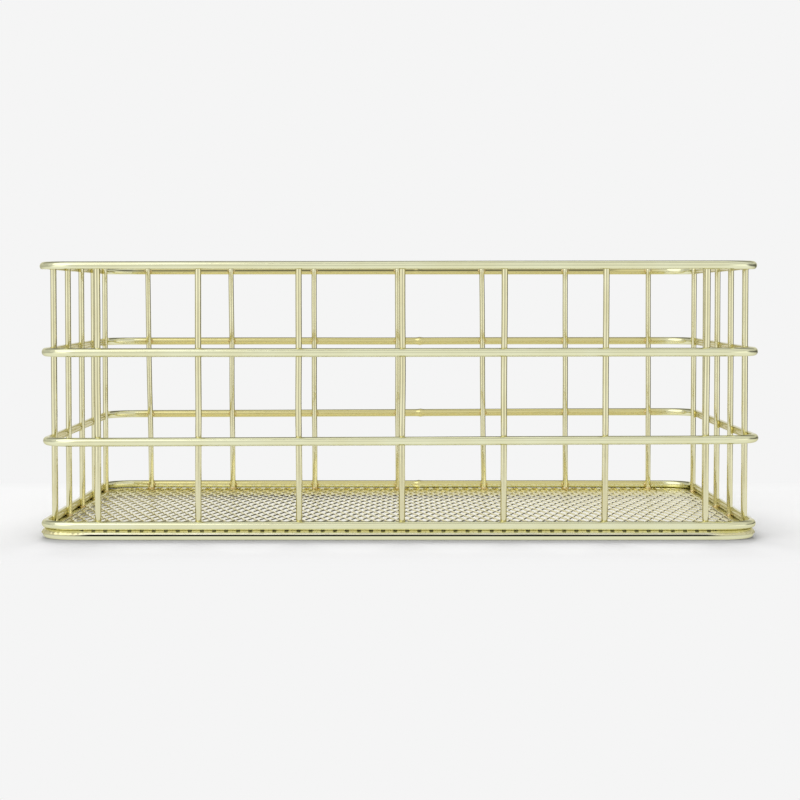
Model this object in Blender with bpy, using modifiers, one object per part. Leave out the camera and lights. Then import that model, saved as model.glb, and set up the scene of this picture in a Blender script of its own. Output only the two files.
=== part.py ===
"""Wire storage basket, modelled piece by piece as it is welded together.

Five closed wire rings lie outside a cage of upright wires. The lowest ring is
the foot. The floor is a sheet of expanded mesh, clamped between the foot ring
and the base ring, and its solid edge is a hem that is rolled down over the
foot ring's outer side. The origin is on the ground under the middle of the
basket, +X runs along the long side, +Z points up, and the front is at -Y.
"""

import math

import bmesh
import bpy
from mathutils import Vector

MM = 0.001

# Overall size, over the outside of the rings
LENGTH = 259.4 * MM
DEPTH = 186.6 * MM
HEIGHT = 99.2 * MM

# Wire and sheet stock, and the room left at every weld
RING_WIRE = 3.0 * MM
FOOT_WIRE = 2.6 * MM
UPRIGHT_WIRE = 2.25 * MM
SHEET = 0.4 * MM
WELD_GAP = 0.3 * MM

# Rings: the bend of a ring's centreline, and how far the two middle rings
# stand up the way from the base ring to the rim
CORNER_RADIUS = 12.0 * MM
LOWER_RING_SHARE = 0.3255
UPPER_RING_SHARE = 0.665

# Uprights: how many stand on each side, the straight run of ring between a
# bend and the first upright, the drop from the rim's top to their upper ends,
# and the taper that takes the burr off both ends
FRONT_UPRIGHT_COUNT = 7
SIDE_UPRIGHT_COUNT = 5
CORNER_CLEAR = 8.0 * MM
TOP_DROP = 0.6 * MM
END_TAPER = 0.35 * MM
END_RADIUS_SHARE = 0.75

# Mesh floor: the spacing of the openings across and along them, the width of
# a strand, the uncut border inside the foot ring's centreline, the smallest
# part of an opening that is left where the border cuts one off, and how far
# round the foot ring the hem is rolled
OPENING_PITCH_X = 9.4 * MM
OPENING_PITCH_Y = 34.5 * MM
STRAND = 1.6 * MM
BORDER = 3.0 * MM
LEAST_OPENING_SHARE = 0.12
LEAST_EDGE_SHARE = 0.05
ROLL_ANGLE = math.radians(72)

# Fineness of the round forms
WIRE_RESOLUTION = 4
WIRE_SIDES = 4 + 2 * WIRE_RESOLUTION
HALF_FACET = math.pi / WIRE_SIDES
CORNER_STEPS = 7
ROLL_STEPS = 4
QUARTER_TURN = math.pi / 2

# Plated finishes: colour, roughness
RING_FINISH = ((0.80, 0.76, 0.55), 0.18)
UPRIGHT_FINISH = ((0.78, 0.73, 0.50), 0.20)
FLOOR_FINISH = ((0.74, 0.70, 0.54), 0.30)

# Places that follow from the sizes above
RING_HALF_LENGTH = (LENGTH - RING_WIRE) / 2
RING_HALF_DEPTH = (DEPTH - RING_WIRE) / 2
ROLL_RADIUS = FOOT_WIRE / 2 + WELD_GAP + SHEET / 2
FOOT_INSET = ROLL_RADIUS + SHEET / 2 - RING_WIRE / 2
FOOT_HALF_LENGTH = RING_HALF_LENGTH - FOOT_INSET
FOOT_HALF_DEPTH = RING_HALF_DEPTH - FOOT_INSET
FOOT_RADIUS = CORNER_RADIUS - FOOT_INSET
FOOT_Z = FOOT_WIRE / 2
FLOOR_Z = FOOT_Z + ROLL_RADIUS
FLOOR_TOP_Z = FLOOR_Z + SHEET / 2
BASE_Z = FLOOR_TOP_Z + WELD_GAP + RING_WIRE / 2
RIM_Z = HEIGHT - RING_WIRE / 2
UPRIGHT_INSET = RING_WIRE / 2 + WELD_GAP + UPRIGHT_WIRE / 2
UPRIGHT_BOTTOM_Z = FLOOR_TOP_Z + WELD_GAP
UPRIGHT_TOP_Z = HEIGHT - TOP_DROP


def clear_scene():
    """Remove every object, so that the script can run again in one session."""
    for leftover in list(bpy.data.objects):
        bpy.data.objects.remove(leftover, do_unlink=True)


def new_collection(name):
    """Return a collection of this name, linked to the scene."""
    collection = bpy.data.collections.new(name)
    bpy.context.scene.collection.children.link(collection)
    return collection


def plated(name, finish):
    """Return a Principled material for bright plated steel."""
    colour, roughness = finish
    material = bpy.data.materials.new(f"{name}_plating")
    material.use_nodes = True
    shader = material.node_tree.nodes["Principled BSDF"]
    shader.inputs["Base Color"].default_value = (*colour, 1)
    shader.inputs["Metallic"].default_value = 1
    shader.inputs["Roughness"].default_value = roughness
    material.diffuse_color = (*colour, 1)
    return material


def place(name, shape, finish, frame, collection, location, turn=0):
    """Put one piece of the basket in its place, in its own finish."""
    piece = bpy.data.objects.new(name, shape)
    piece.location = location
    piece.rotation_euler.z = turn
    piece.parent = frame
    if not shape.materials:
        shape.materials.append(None)
    piece.material_slots[0].link = "OBJECT"
    piece.material_slots[0].material = plated(name, finish)
    collection.objects.link(piece)
    return piece


def rounded_rectangle(half_length, half_depth, radius):
    """Return the points of a rectangle with round corners, anticlockwise."""
    points = []
    for quarter in range(4):
        side_x = 1 if quarter in (0, 3) else -1
        side_y = 1 if quarter in (0, 1) else -1
        centre = Vector((side_x * (half_length - radius), side_y * (half_depth - radius)))
        for step in range(CORNER_STEPS + 1):
            angle = QUARTER_TURN * (quarter + step / CORNER_STEPS)
            points.append(centre + radius * Vector((math.cos(angle), math.sin(angle))))
    return points


def foot_outline(reach):
    """Return the foot ring's centreline, grown outwards by a reach."""
    return rounded_rectangle(FOOT_HALF_LENGTH + reach, FOOT_HALF_DEPTH + reach, FOOT_RADIUS + reach)


def wire_shape(name, points, diameter, closed):
    """Return a round wire through (position, radius share) points.

    The diameter is measured over the flats of its facets. Every point is
    tilted by half a facet, so that flats face up, down and to both sides.
    """
    shape = bpy.data.curves.new(name, "CURVE")
    shape.dimensions = "3D"
    shape.twist_mode = "Z_UP"
    shape.bevel_depth = diameter / 2 / math.cos(HALF_FACET)
    shape.bevel_resolution = WIRE_RESOLUTION
    shape.use_fill_caps = not closed
    run = shape.splines.new("POLY")
    run.points.add(len(points) - 1)
    run.use_cyclic_u = closed
    for point, (position, radius_share) in zip(run.points, points):
        point.co = (*position, 1)
        point.radius = radius_share
        point.tilt = HALF_FACET
    return shape


def ring_shape(name, outline, diameter):
    """Return a closed ring of wire that follows an outline."""
    points = [(spot.to_3d(), 1) for spot in outline]
    return wire_shape(name, points, diameter, closed=True)


def add_rings(frame, collection):
    """Model the four rings of the wall and the foot ring under the floor."""
    outline = rounded_rectangle(RING_HALF_LENGTH, RING_HALF_DEPTH, CORNER_RADIUS)
    wall_ring = ring_shape("wall_ring", outline, RING_WIRE)
    rise = RIM_Z - BASE_Z
    heights = {
        "base_ring": BASE_Z,
        "lower_ring": BASE_Z + LOWER_RING_SHARE * rise,
        "upper_ring": BASE_Z + UPPER_RING_SHARE * rise,
        "rim_ring": RIM_Z,
    }
    for name, height in heights.items():
        place(name, wall_ring, RING_FINISH, frame, collection, (0, 0, height))
    foot_ring = ring_shape("foot_ring", foot_outline(0), FOOT_WIRE)
    place("foot_ring", foot_ring, RING_FINISH, frame, collection, (0, 0, FOOT_Z))


def upright_shape():
    """Return one upright wire, standing on its own origin."""
    height = UPRIGHT_TOP_Z - UPRIGHT_BOTTOM_Z
    points = [
        (Vector((0, 0, 0)), END_RADIUS_SHARE),
        (Vector((0, 0, END_TAPER)), 1),
        (Vector((0, 0, height - END_TAPER)), 1),
        (Vector((0, 0, height)), END_RADIUS_SHARE),
    ]
    return wire_shape("upright", points, UPRIGHT_WIRE, closed=False)


def evenly_spaced(count, half_length):
    """Return the places of uprights on a side, from bend to bend."""
    reach = half_length - CORNER_RADIUS - CORNER_CLEAR
    return [reach * (2 * index / (count - 1) - 1) for index in range(count)]


def add_uprights(frame, collection):
    """Stand the uprights inside the rings, each one against all four."""
    upright = upright_shape()
    inside_y = RING_HALF_DEPTH - UPRIGHT_INSET
    inside_x = RING_HALF_LENGTH - UPRIGHT_INSET
    for number, x in enumerate(evenly_spaced(FRONT_UPRIGHT_COUNT, RING_HALF_LENGTH), 1):
        for side, y in (("front", -inside_y), ("back", inside_y)):
            name = f"{side}_upright_{number}"
            place(name, upright, UPRIGHT_FINISH, frame, collection, (x, y, UPRIGHT_BOTTOM_Z))
    for number, y in enumerate(evenly_spaced(SIDE_UPRIGHT_COUNT, RING_HALF_DEPTH), 1):
        for side, x in (("left", -inside_x), ("right", inside_x)):
            name = f"{side}_upright_{number}"
            spot = (x, y, UPRIGHT_BOTTOM_Z)
            place(name, upright, UPRIGHT_FINISH, frame, collection, spot, QUARTER_TURN)


def area(points):
    """Return the area inside a loop of points, positive if anticlockwise."""
    turned = points[1:] + points[:1]
    return sum(a.cross(b) for a, b in zip(points, turned)) / 2


def cut_to(outline, points):
    """Cut a convex loop of points back to a convex outline."""
    for start, end in zip(outline, outline[1:] + outline[:1]):
        along = end - start
        kept = []
        for here, following in zip(points, points[1:] + points[:1]):
            inside = along.cross(here - start)
            inside_next = along.cross(following - start)
            if inside >= 0:
                kept.append(here)
            if inside * inside_next < 0:
                kept.append(here.lerp(following, inside / (inside - inside_next)))
        points = kept
    return points


def without_short_edges(points, shortest):
    """Drop each point that lies too near the one before it."""
    return [
        point
        for before, point in zip(points[-1:] + points[:-1], points)
        if (point - before).length > shortest
    ]


def opening_at(centre):
    """Return one diamond of the mesh, narrower than its cell by a strand."""
    half_width = OPENING_PITCH_X / 2
    half_length = OPENING_PITCH_Y / 2
    centre_to_strand = half_width * half_length / math.hypot(half_width, half_length)
    scale = 1 - STRAND / 2 / centre_to_strand
    return [
        centre + scale * Vector((half_width, 0)),
        centre + scale * Vector((0, half_length)),
        centre - scale * Vector((half_width, 0)),
        centre - scale * Vector((0, half_length)),
    ]


def mesh_openings():
    """Return the diamonds inside the border, in rows that are staggered by half."""
    outline = foot_outline(-BORDER)
    half_length = FOOT_HALF_LENGTH - BORDER
    half_depth = FOOT_HALF_DEPTH - BORDER
    columns = math.ceil(half_length / OPENING_PITCH_X)
    half_rows = math.ceil(2 * half_depth / OPENING_PITCH_Y)
    openings = []
    for half_row in range(-half_rows, half_rows + 1):
        stagger = (half_row % 2) / 2
        for column in range(-columns - 1, columns + 1):
            spot = Vector((OPENING_PITCH_X * (column + stagger), OPENING_PITCH_Y * half_row / 2))
            whole = opening_at(spot)
            diamond = without_short_edges(cut_to(outline, whole), LEAST_EDGE_SHARE * STRAND)
            if len(diamond) > 2 and area(diamond) > LEAST_OPENING_SHARE * area(whole):
                openings.append(diamond)
    return openings


def add_run(shape, points):
    """Add one closed run of straight edges to a flat curve."""
    run = shape.splines.new("POLY")
    run.points.add(len(points) - 1)
    run.use_cyclic_u = True
    for point, spot in zip(run.points, points):
        point.co = (*spot, 0, 1)


def floor_shape():
    """Return the flat sheet with its openings cut through it."""
    shape = bpy.data.curves.new("mesh_floor", "CURVE")
    shape.dimensions = "2D"
    shape.fill_mode = "BOTH"
    shape.extrude = SHEET / 2
    add_run(shape, foot_outline(0))
    for opening in mesh_openings():
        add_run(shape, opening)
    return shape


def hem_shape():
    """Return the hem's middle surface, rolled from the floor's edge over the foot ring."""
    bm = bmesh.new()
    first_angle = math.asin(WELD_GAP / ROLL_RADIUS)
    edge = []
    for step in range(ROLL_STEPS + 1):
        angle = first_angle + (ROLL_ANGLE - first_angle) * step / ROLL_STEPS
        points = foot_outline(ROLL_RADIUS * math.sin(angle))
        z = FOOT_Z + ROLL_RADIUS * math.cos(angle)
        spots = [bm.verts.new((point.x, point.y, z)) for point in points]
        next_edge = [bm.edges.new(pair) for pair in zip(spots, spots[1:] + spots[:1])]
        if edge:
            bmesh.ops.bridge_loops(bm, edges=edge + next_edge)
        edge = next_edge
    bmesh.ops.recalc_face_normals(bm, faces=bm.faces[:])
    shape = bpy.data.meshes.new("floor_hem")
    bm.to_mesh(shape)
    bm.free()
    return shape


def add_floor(frame, collection):
    """Model the mesh floor and its rolled hem, and give the hem its thickness."""
    place("mesh_floor", floor_shape(), FLOOR_FINISH, frame, collection, (0, 0, FLOOR_Z))
    hem = place("floor_hem", hem_shape(), FLOOR_FINISH, frame, collection, (0, 0, 0))
    sheet = hem.modifiers.new("sheet", "SOLIDIFY")
    sheet.thickness = SHEET
    sheet.offset = 0
    sheet.use_even_offset = True


def main():
    """Build the whole basket under one empty."""
    clear_scene()
    collection = new_collection("storage_basket")
    frame = bpy.data.objects.new("basket_frame", None)
    collection.objects.link(frame)
    add_rings(frame, collection)
    add_uprights(frame, collection)
    add_floor(frame, collection)


main()
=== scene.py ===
"""Looks of the wire storage basket: plated wires, their welds, the mesh floor and its rolled hem.

Every piece is a surface worked out with numpy in the frame's own metres, so it
lies where its CAD node lies. The front of the basket is at -Y.
"""

import logging
import math
from dataclasses import dataclass, field, replace
from enum import Enum

import bpy
import numpy as np
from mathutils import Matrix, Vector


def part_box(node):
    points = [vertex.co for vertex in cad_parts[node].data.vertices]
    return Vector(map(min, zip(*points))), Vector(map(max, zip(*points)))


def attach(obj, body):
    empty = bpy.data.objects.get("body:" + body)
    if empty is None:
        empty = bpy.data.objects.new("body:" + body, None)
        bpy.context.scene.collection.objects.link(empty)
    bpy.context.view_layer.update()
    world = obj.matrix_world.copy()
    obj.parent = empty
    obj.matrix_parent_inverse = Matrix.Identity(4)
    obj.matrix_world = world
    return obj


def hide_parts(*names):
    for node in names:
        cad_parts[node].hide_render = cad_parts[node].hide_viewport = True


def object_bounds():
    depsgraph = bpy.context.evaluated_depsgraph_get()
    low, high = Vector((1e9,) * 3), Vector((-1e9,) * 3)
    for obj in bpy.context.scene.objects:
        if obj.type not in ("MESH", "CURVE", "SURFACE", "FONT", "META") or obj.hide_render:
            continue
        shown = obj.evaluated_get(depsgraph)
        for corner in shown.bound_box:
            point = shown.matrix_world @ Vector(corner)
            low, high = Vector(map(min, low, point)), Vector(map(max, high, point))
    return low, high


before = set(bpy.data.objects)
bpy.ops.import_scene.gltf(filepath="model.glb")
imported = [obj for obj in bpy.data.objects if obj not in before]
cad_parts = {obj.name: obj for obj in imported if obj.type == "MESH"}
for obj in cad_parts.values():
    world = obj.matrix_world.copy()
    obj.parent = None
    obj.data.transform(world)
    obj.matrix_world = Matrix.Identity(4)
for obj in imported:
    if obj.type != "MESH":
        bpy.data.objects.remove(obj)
CAD_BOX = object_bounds()

MM = 0.001
BODY = "root"
WORLD_UP = np.array([0.0, 0.0, 1.0])

logging.basicConfig(level=logging.INFO, format="%(name)s: %(message)s")
log = logging.getLogger("basket")


class Slot(Enum):
    """The record's material slots."""

    RING = "ring_wire"
    UPRIGHT = "upright_wire"
    FLOOR = "floor_mesh"


class Wall(Enum):
    """The four walls: the start of their uprights' names, and the way from the inside out."""

    FRONT = ("front", 0.0, -1.0)
    BACK = ("back", 0.0, 1.0)
    LEFT = ("left", -1.0, 0.0)
    RIGHT = ("right", 1.0, 0.0)

    @property
    def title(self) -> str:
        """The wall's name."""
        return self.value[0]

    @property
    def outward(self) -> np.ndarray:
        """The unit vector from the inside of the basket out through the wall."""
        return np.array([self.value[1], self.value[2], 0.0])


# Seeds of the random phases: one block of numbers for each kind of piece
RING_SEEDS = range(3, 53, 10)
FIRST_UPRIGHT_SEED = 101
NUGGET_SEEDS = range(1000, 1160, 40)
FIRST_FOOT_SEED = 1200
PLEAT_SEED = 5
RUFFLE_SEED = 9
LIP_SEED = 77


def smoothstep(low: float, high: float, values: np.ndarray) -> np.ndarray:
    """Rise smoothly from 0 to 1.

    The share t of the way from low to high is held to 0..1, and the result is
    three t squared less two t cubed.

    Args:
        low: value where the rise starts.
        high: value where it ends.
        values: the values to place on the rise.

    Returns:
        An array of the same shape, from 0 to 1.
    """
    share = np.clip((values - low) / (high - low), 0.0, 1.0)
    return share * share * (3.0 - 2.0 * share)


def ripple(along: np.ndarray, period: float, waves: range, seed: int) -> np.ndarray:
    """Return a smooth irregular wave that repeats after a period.

    It is a sum of sines: each has a whole number of waves in the period, a
    random phase, and a height that falls with the number of waves. The sum is
    divided by the heights' total, so it stays within -1 and 1.

    Args:
        along: distances along the wire or sheet, in metres.
        period: the distance after which the wave repeats.
        waves: the whole numbers of waves that are added up.
        seed: fixes the random phases.

    Returns:
        An array of the same shape as along.
    """
    phases = np.random.default_rng(seed).uniform(0.0, 2.0 * math.pi, len(waves))
    counts = np.array(waves, float)
    heights = 1.0 / np.sqrt(counts)
    angles = 2.0 * math.pi * along[..., None] * counts / period + phases
    return (np.sin(angles) * heights).sum(-1) / heights.sum()


def grid_quads(rows: int, columns: int, loop_rows: bool, loop_columns: bool) -> np.ndarray:
    """Return the four-sided faces of a grid of points.

    Points are numbered row by row. Each face joins a point to the next row,
    the next row's next column, and its own next column, so it faces the cross
    product of the row direction and the column direction.

    Args:
        rows: number of rows.
        columns: number of columns.
        loop_rows: whether the last row joins the first.
        loop_columns: whether the last column joins the first.

    Returns:
        An array of shape (faces, 4) of point numbers.
    """
    row = np.arange(rows if loop_rows else rows - 1)[:, None]
    column = np.arange(columns if loop_columns else columns - 1)[None, :]
    next_row = (row + 1) % rows
    next_column = (column + 1) % columns
    corners = (
        row * columns + column,
        next_row * columns + column,
        next_row * columns + next_column,
        row * columns + next_column,
    )
    return np.stack([np.broadcast_to(c, (row.size, column.size)) for c in corners], -1).reshape(-1, 4)


def pole_fans(rows: int, sides: int, turned: bool) -> np.ndarray:
    """Return the three-sided faces that close a grid of points with a pole at each end.

    The points are numbered row by row, and the first and the last row's pole
    follow them. Each face joins a pole to two neighbours in its row.

    Args:
        rows: number of rows.
        sides: points round a row.
        turned: whether the faces are wound against the ones of grid_quads.

    Returns:
        An array of shape (2 * sides, 3) of point numbers.
    """
    here = np.arange(sides)
    following = (here + 1) % sides
    if turned:
        here, following = following, here
    last = (rows - 1) * sides
    pole = np.full(sides, rows * sides)
    first_fan = np.stack([pole, here, following], -1)
    last_fan = np.stack([pole + 1, last + following, last + here], -1)
    return np.concatenate([first_fan, last_fan])


def crossed(along: np.ndarray, around: np.ndarray) -> np.ndarray:
    """Return, point by point, the product of a value along a wire and one round it."""
    return (along[:, None] * around[None, :]).ravel()


def full_turn(count: int) -> np.ndarray:
    """Return a number of angles spread evenly over a full turn, from 0."""
    return 2.0 * math.pi * np.arange(count) / count


@dataclass
class Skin:
    """A closed surface as arrays, with named values at its points.

    Attributes:
        points: positions, shape (n, 3).
        quads: four-sided faces, shape (m, 4).
        fans: three-sided faces, shape (k, 3).
        marks: named point values, each of shape (n,) or (n, 3).
        cut: for each four-sided face, up to 1 where it is a sheared face that takes the dark sheared tone,
            partly thin plating and partly painted shade.
        smooth: whether the surface is shaded smooth.
    """

    points: np.ndarray
    quads: np.ndarray
    fans: np.ndarray = field(default_factory=lambda: np.zeros((0, 3), int))
    marks: dict[str, np.ndarray] = field(default_factory=dict)
    cut: np.ndarray | None = None
    smooth: bool = True

    def held_in(self, low: np.ndarray, high: np.ndarray) -> "Skin":
        """Return the skin with every point held inside a box."""
        return replace(self, points=np.clip(self.points, low, high))

    def mesh(self, name: str) -> bpy.types.Mesh:
        """Make a Blender mesh of the skin.

        Args:
            name: the mesh's name.

        Returns:
            The mesh, with each mark as a point attribute and cut as a face attribute.
        """
        made = bpy.data.meshes.new(name)
        corner_count = self.quads.size + self.fans.size
        made.vertices.add(len(self.points))
        made.vertices.foreach_set("co", self.points.astype(np.float32).ravel())
        made.loops.add(corner_count)
        made.loops.foreach_set("vertex_index", np.concatenate([self.quads.ravel(), self.fans.ravel()]))
        sides = np.repeat([4, 3], [len(self.quads), len(self.fans)])
        made.polygons.add(len(sides))
        made.polygons.foreach_set("loop_start", np.concatenate([[0], np.cumsum(sides)[:-1]]))
        made.polygons.foreach_set("use_smooth", np.full(len(sides), self.smooth))
        for title, values in self.marks.items():
            vector = values.ndim == 2
            mark = made.attributes.new(title, "FLOAT_VECTOR" if vector else "FLOAT", "POINT")
            mark.data.foreach_set("vector" if vector else "value", values.astype(np.float32).ravel())
        if self.cut is not None:
            sheared = np.concatenate([self.cut, np.zeros(len(self.fans))])
            made.attributes.new("cut", "FLOAT", "FACE").data.foreach_set("value", sheared.astype(np.float32))
        made.update(calc_edges=True)
        made.validate()
        return made


def joined(skins: list[Skin]) -> Skin:
    """Return several skins as one.

    Args:
        skins: skins that all have the same marks, and the first one's shading.

    Returns:
        One skin with the points and faces of all.
    """
    starts = np.cumsum([0] + [len(skin.points) for skin in skins])
    return Skin(
        np.concatenate([skin.points for skin in skins]),
        np.concatenate([skin.quads + start for skin, start in zip(skins, starts)]),
        np.concatenate([skin.fans + start for skin, start in zip(skins, starts)]),
        {title: np.concatenate([skin.marks[title] for skin in skins]) for title in skins[0].marks},
        None if skins[0].cut is None else np.concatenate([skin.cut for skin in skins]),
        skins[0].smooth,
    )


def dress(name: str, skin: Skin, material: bpy.types.Material, slot: Slot, *nodes: str) -> bpy.types.Object:
    """Put a piece into the scene and tie it to the frame.

    Args:
        name: the piece's name.
        skin: its surface.
        material: its finish.
        slot: the record's slot that the finish stands for; not used.
        nodes: the CAD nodes that it replaces.

    Returns:
        The new object.
    """
    piece = bpy.data.objects.new(name, skin.mesh(name))
    bpy.context.scene.collection.objects.link(piece)
    piece.data.materials.append(material)
    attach(piece, BODY)
    if nodes:
        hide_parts(*nodes)
    log.info("%s: %d points, %d faces", name, len(skin.points), len(skin.quads) + len(skin.fans))
    return piece


def node_box(name: str) -> tuple[np.ndarray, np.ndarray]:
    """Return a CAD node's lowest and highest corners as arrays."""
    low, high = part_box(name)
    return np.array(low), np.array(high)


def unit(vectors: np.ndarray) -> np.ndarray:
    """Return vectors scaled to unit length along their last axis."""
    return vectors / np.linalg.norm(vectors, axis=-1, keepdims=True)


@dataclass(frozen=True)
class RoundedLoop:
    """A rectangle with round corners, walked anticlockwise from a point on the back side.

    Attributes:
        half_length: half its size along X.
        half_depth: half its size along Y.
        radius: radius of its corners.
        start_x: place along X where the walk starts and ends.
    """

    half_length: float
    half_depth: float
    radius: float
    start_x: float

    def stretches(self) -> np.ndarray:
        """Work out the stretches of the walk, straights and corners by turns.

        Returns:
            The lengths of the nine stretches.
        """
        across = 2.0 * (self.half_length - self.radius)
        deep = 2.0 * (self.half_depth - self.radius)
        corner = self.radius * math.pi / 2.0
        first = self.start_x + across / 2.0
        return np.array([first, corner, deep, corner, across, corner, deep, corner, across - first])

    @property
    def length(self) -> float:
        """The whole way round."""
        return float(self.stretches().sum())

    def sections(self, step: float) -> np.ndarray:
        """Return distances all the way round, spaced evenly by about a step."""
        rows = int(round(self.length / step))
        return np.arange(rows) * self.length / rows

    def walk(self, along: np.ndarray) -> tuple[np.ndarray, np.ndarray]:
        """Return places and outward directions on the loop.

        On a straight, the place is the stretch's start plus the distance times
        the heading. On a corner the heading turns by distance over radius, and
        the place moves by the radius times the change of the heading's sine
        and cosine.

        Args:
            along: distances from the start, in metres, of shape (n,).

        Returns:
            Places and unit outward directions, each of shape (n, 3), with Z at 0.
        """
        lengths = self.stretches()
        starts = np.concatenate([[0.0], np.cumsum(lengths)[:-1]])
        bends = np.arange(len(lengths)) % 2
        headings = math.pi + math.pi / 2.0 * (np.cumsum(bends) - bends)
        steps = np.where(
            bends[:, None] == 1,
            self.radius * self._turned(headings, headings + math.pi / 2.0),
            lengths[:, None] * np.stack([np.cos(headings), np.sin(headings)], -1),
        )
        first_start = np.array([self.start_x, self.half_depth])
        stretch_starts = first_start + np.concatenate([np.zeros((1, 2)), np.cumsum(steps, 0)[:-1]])
        stretch = np.clip(np.searchsorted(starts, along, side="right") - 1, 0, len(lengths) - 1)
        local = along - starts[stretch]
        bent = bends[stretch] == 1
        heading = headings[stretch] + np.where(bent, local / self.radius, 0.0)
        straight = local[:, None] * np.stack([np.cos(heading), np.sin(heading)], -1)
        curved = self.radius * self._turned(headings[stretch], heading)
        places = stretch_starts[stretch] + np.where(bent[:, None], curved, straight)
        outward = np.stack([np.sin(heading), -np.cos(heading), np.zeros_like(heading)], -1)
        return np.column_stack([places, np.zeros(len(along))]), outward

    @staticmethod
    def _turned(before: np.ndarray, after: np.ndarray) -> np.ndarray:
        """Return how far a walk on a unit circle moves as its heading turns."""
        return np.stack([np.sin(after) - np.sin(before), np.cos(before) - np.cos(after)], -1)

    def past_straights(self, places: np.ndarray) -> tuple[np.ndarray, np.ndarray]:
        """Measure how far places lie past the ends of the straights.

        Args:
            places: positions, shape (n, 3).

        Returns:
            Distances along X and along Y, both above nought only in a corner.
        """
        past_x = np.abs(places[:, 0]) - (self.half_length - self.radius)
        past_y = np.abs(places[:, 1]) - (self.half_depth - self.radius)
        return past_x, past_y


def smooth_tube(
    centres: np.ndarray, sideways: np.ndarray, upwards: np.ndarray, radii: np.ndarray, turns: np.ndarray
) -> np.ndarray:
    """Return the points of a round wire.

    Each point is the wire's centre plus its radius times the cosine of the
    turn sideways and the sine of the turn upwards.

    Args:
        centres: the centreline, shape (n, 3).
        sideways: unit vectors square to the wire, shape (n, 3) or (1, 3).
        upwards: unit vectors square to both, shape (n, 3) or (1, 3).
        radii: radius at each centre and turn, shape (n, m) or (n, 1).
        turns: angles round the wire, shape (m,).

    Returns:
        Points of shape (n, m, 3).
    """
    aside = np.cos(turns)[None, :, None] * sideways[:, None, :]
    up = np.sin(turns)[None, :, None] * upwards[:, None, :]
    return centres[:, None, :] + radii[..., None] * (aside + up)


class Board:
    """A node tree under construction, for a material, a group or the world."""

    def __init__(self, tree: bpy.types.NodeTree) -> None:
        """Start on a tree."""
        self.tree = tree

    def add(self, kind: str, settings: dict | None = None, **inputs: object) -> bpy.types.Node:
        """Add a node and set or link its inputs.

        Args:
            kind: the node's type, such as ShaderNodeTexNoise.
            settings: the node's own properties.
            inputs: sockets by name, with _ for a space, or n and a number for
                the socket at that place. A socket links, any other value is set.

        Returns:
            The node.
        """
        node = self.tree.nodes.new(kind)
        for title, value in (settings or {}).items():
            setattr(node, title, value)
        for title, value in inputs.items():
            place = int(title[1:]) if title[0] == "n" and title[1:].isdigit() else title.replace("_", " ")
            socket = node.inputs[place]
            if isinstance(value, bpy.types.NodeSocket):
                self.tree.links.new(value, socket)
            else:
                socket.default_value = value
        return node

    def group(self, tree: bpy.types.NodeTree, **inputs: object) -> bpy.types.Node:
        """Place a shared effect."""
        return self.add("ShaderNodeGroup", {"node_tree": tree}, **inputs)

    def mark(self, title: str) -> bpy.types.NodeSocket:
        """Return the value that a piece's mark has at a point."""
        return self.add("ShaderNodeAttribute", {"attribute_name": title}).outputs["Fac"]

    def mix(self, share: object, first: object, second: object, blend: str = "MIX") -> bpy.types.NodeSocket:
        """Return a colour mixed from two, by a share of 0 to 1."""
        settings = {"data_type": "RGBA", "blend_type": blend}
        return self.add("ShaderNodeMix", settings, n0=share, n6=first, n7=second).outputs[2]

    def math(self, operation: str, *values: object) -> bpy.types.NodeSocket:
        """Return the result of a sum on numbers."""
        inputs = {f"n{place}": value for place, value in enumerate(values)}
        return self.add("ShaderNodeMath", {"operation": operation}, **inputs).outputs[0]

    def rise(
        self, value: object, span: tuple[float, float], levels: tuple[float, float] = (0.0, 1.0)
    ) -> bpy.types.NodeSocket:
        """Return a number that goes evenly from one level to another.

        Args:
            value: the number that it follows.
            span: that number's values where the change starts and ends.
            levels: the levels before and after the change.

        Returns:
            The result's socket.
        """
        limits = {"From_Min": span[0], "From_Max": span[1], "To_Min": levels[0], "To_Max": levels[1]}
        return self.add("ShaderNodeMapRange", Value=value, **limits).outputs["Result"]

    def noise(self, place: object, scale: object, detail: float, roughness: float) -> bpy.types.NodeSocket:
        """Return a noise of about 0 to 1 at a place."""
        inputs = {"Vector": place, "Scale": scale, "Detail": detail, "Roughness": roughness}
        return self.add("ShaderNodeTexNoise", **inputs).outputs["Fac"]

    def ramp(
        self, value: bpy.types.NodeSocket, stops: tuple[tuple[float, tuple[float, ...]], ...]
    ) -> bpy.types.NodeSocket:
        """Return a colour read from a ramp.

        Args:
            value: place on the ramp, from 0 to 1.
            stops: pairs of a place and a colour with alpha.

        Returns:
            The ramp's colour socket.
        """
        node = self.add("ShaderNodeValToRGB", Fac=value)
        elements = node.color_ramp.elements
        while len(elements) < len(stops):
            elements.new(1.0)
        for element, (place, colour) in zip(elements, stops):
            element.position = place
            element.color = colour
        return node.outputs["Color"]


def solid(colour: tuple[float, float, float]) -> tuple[float, float, float, float]:
    """Return a colour with full alpha."""
    return (*colour, 1.0)


def grey(level: float) -> tuple[float, float, float, float]:
    """Return the grey of a level, with full alpha."""
    return (level, level, level, 1.0)


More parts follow.
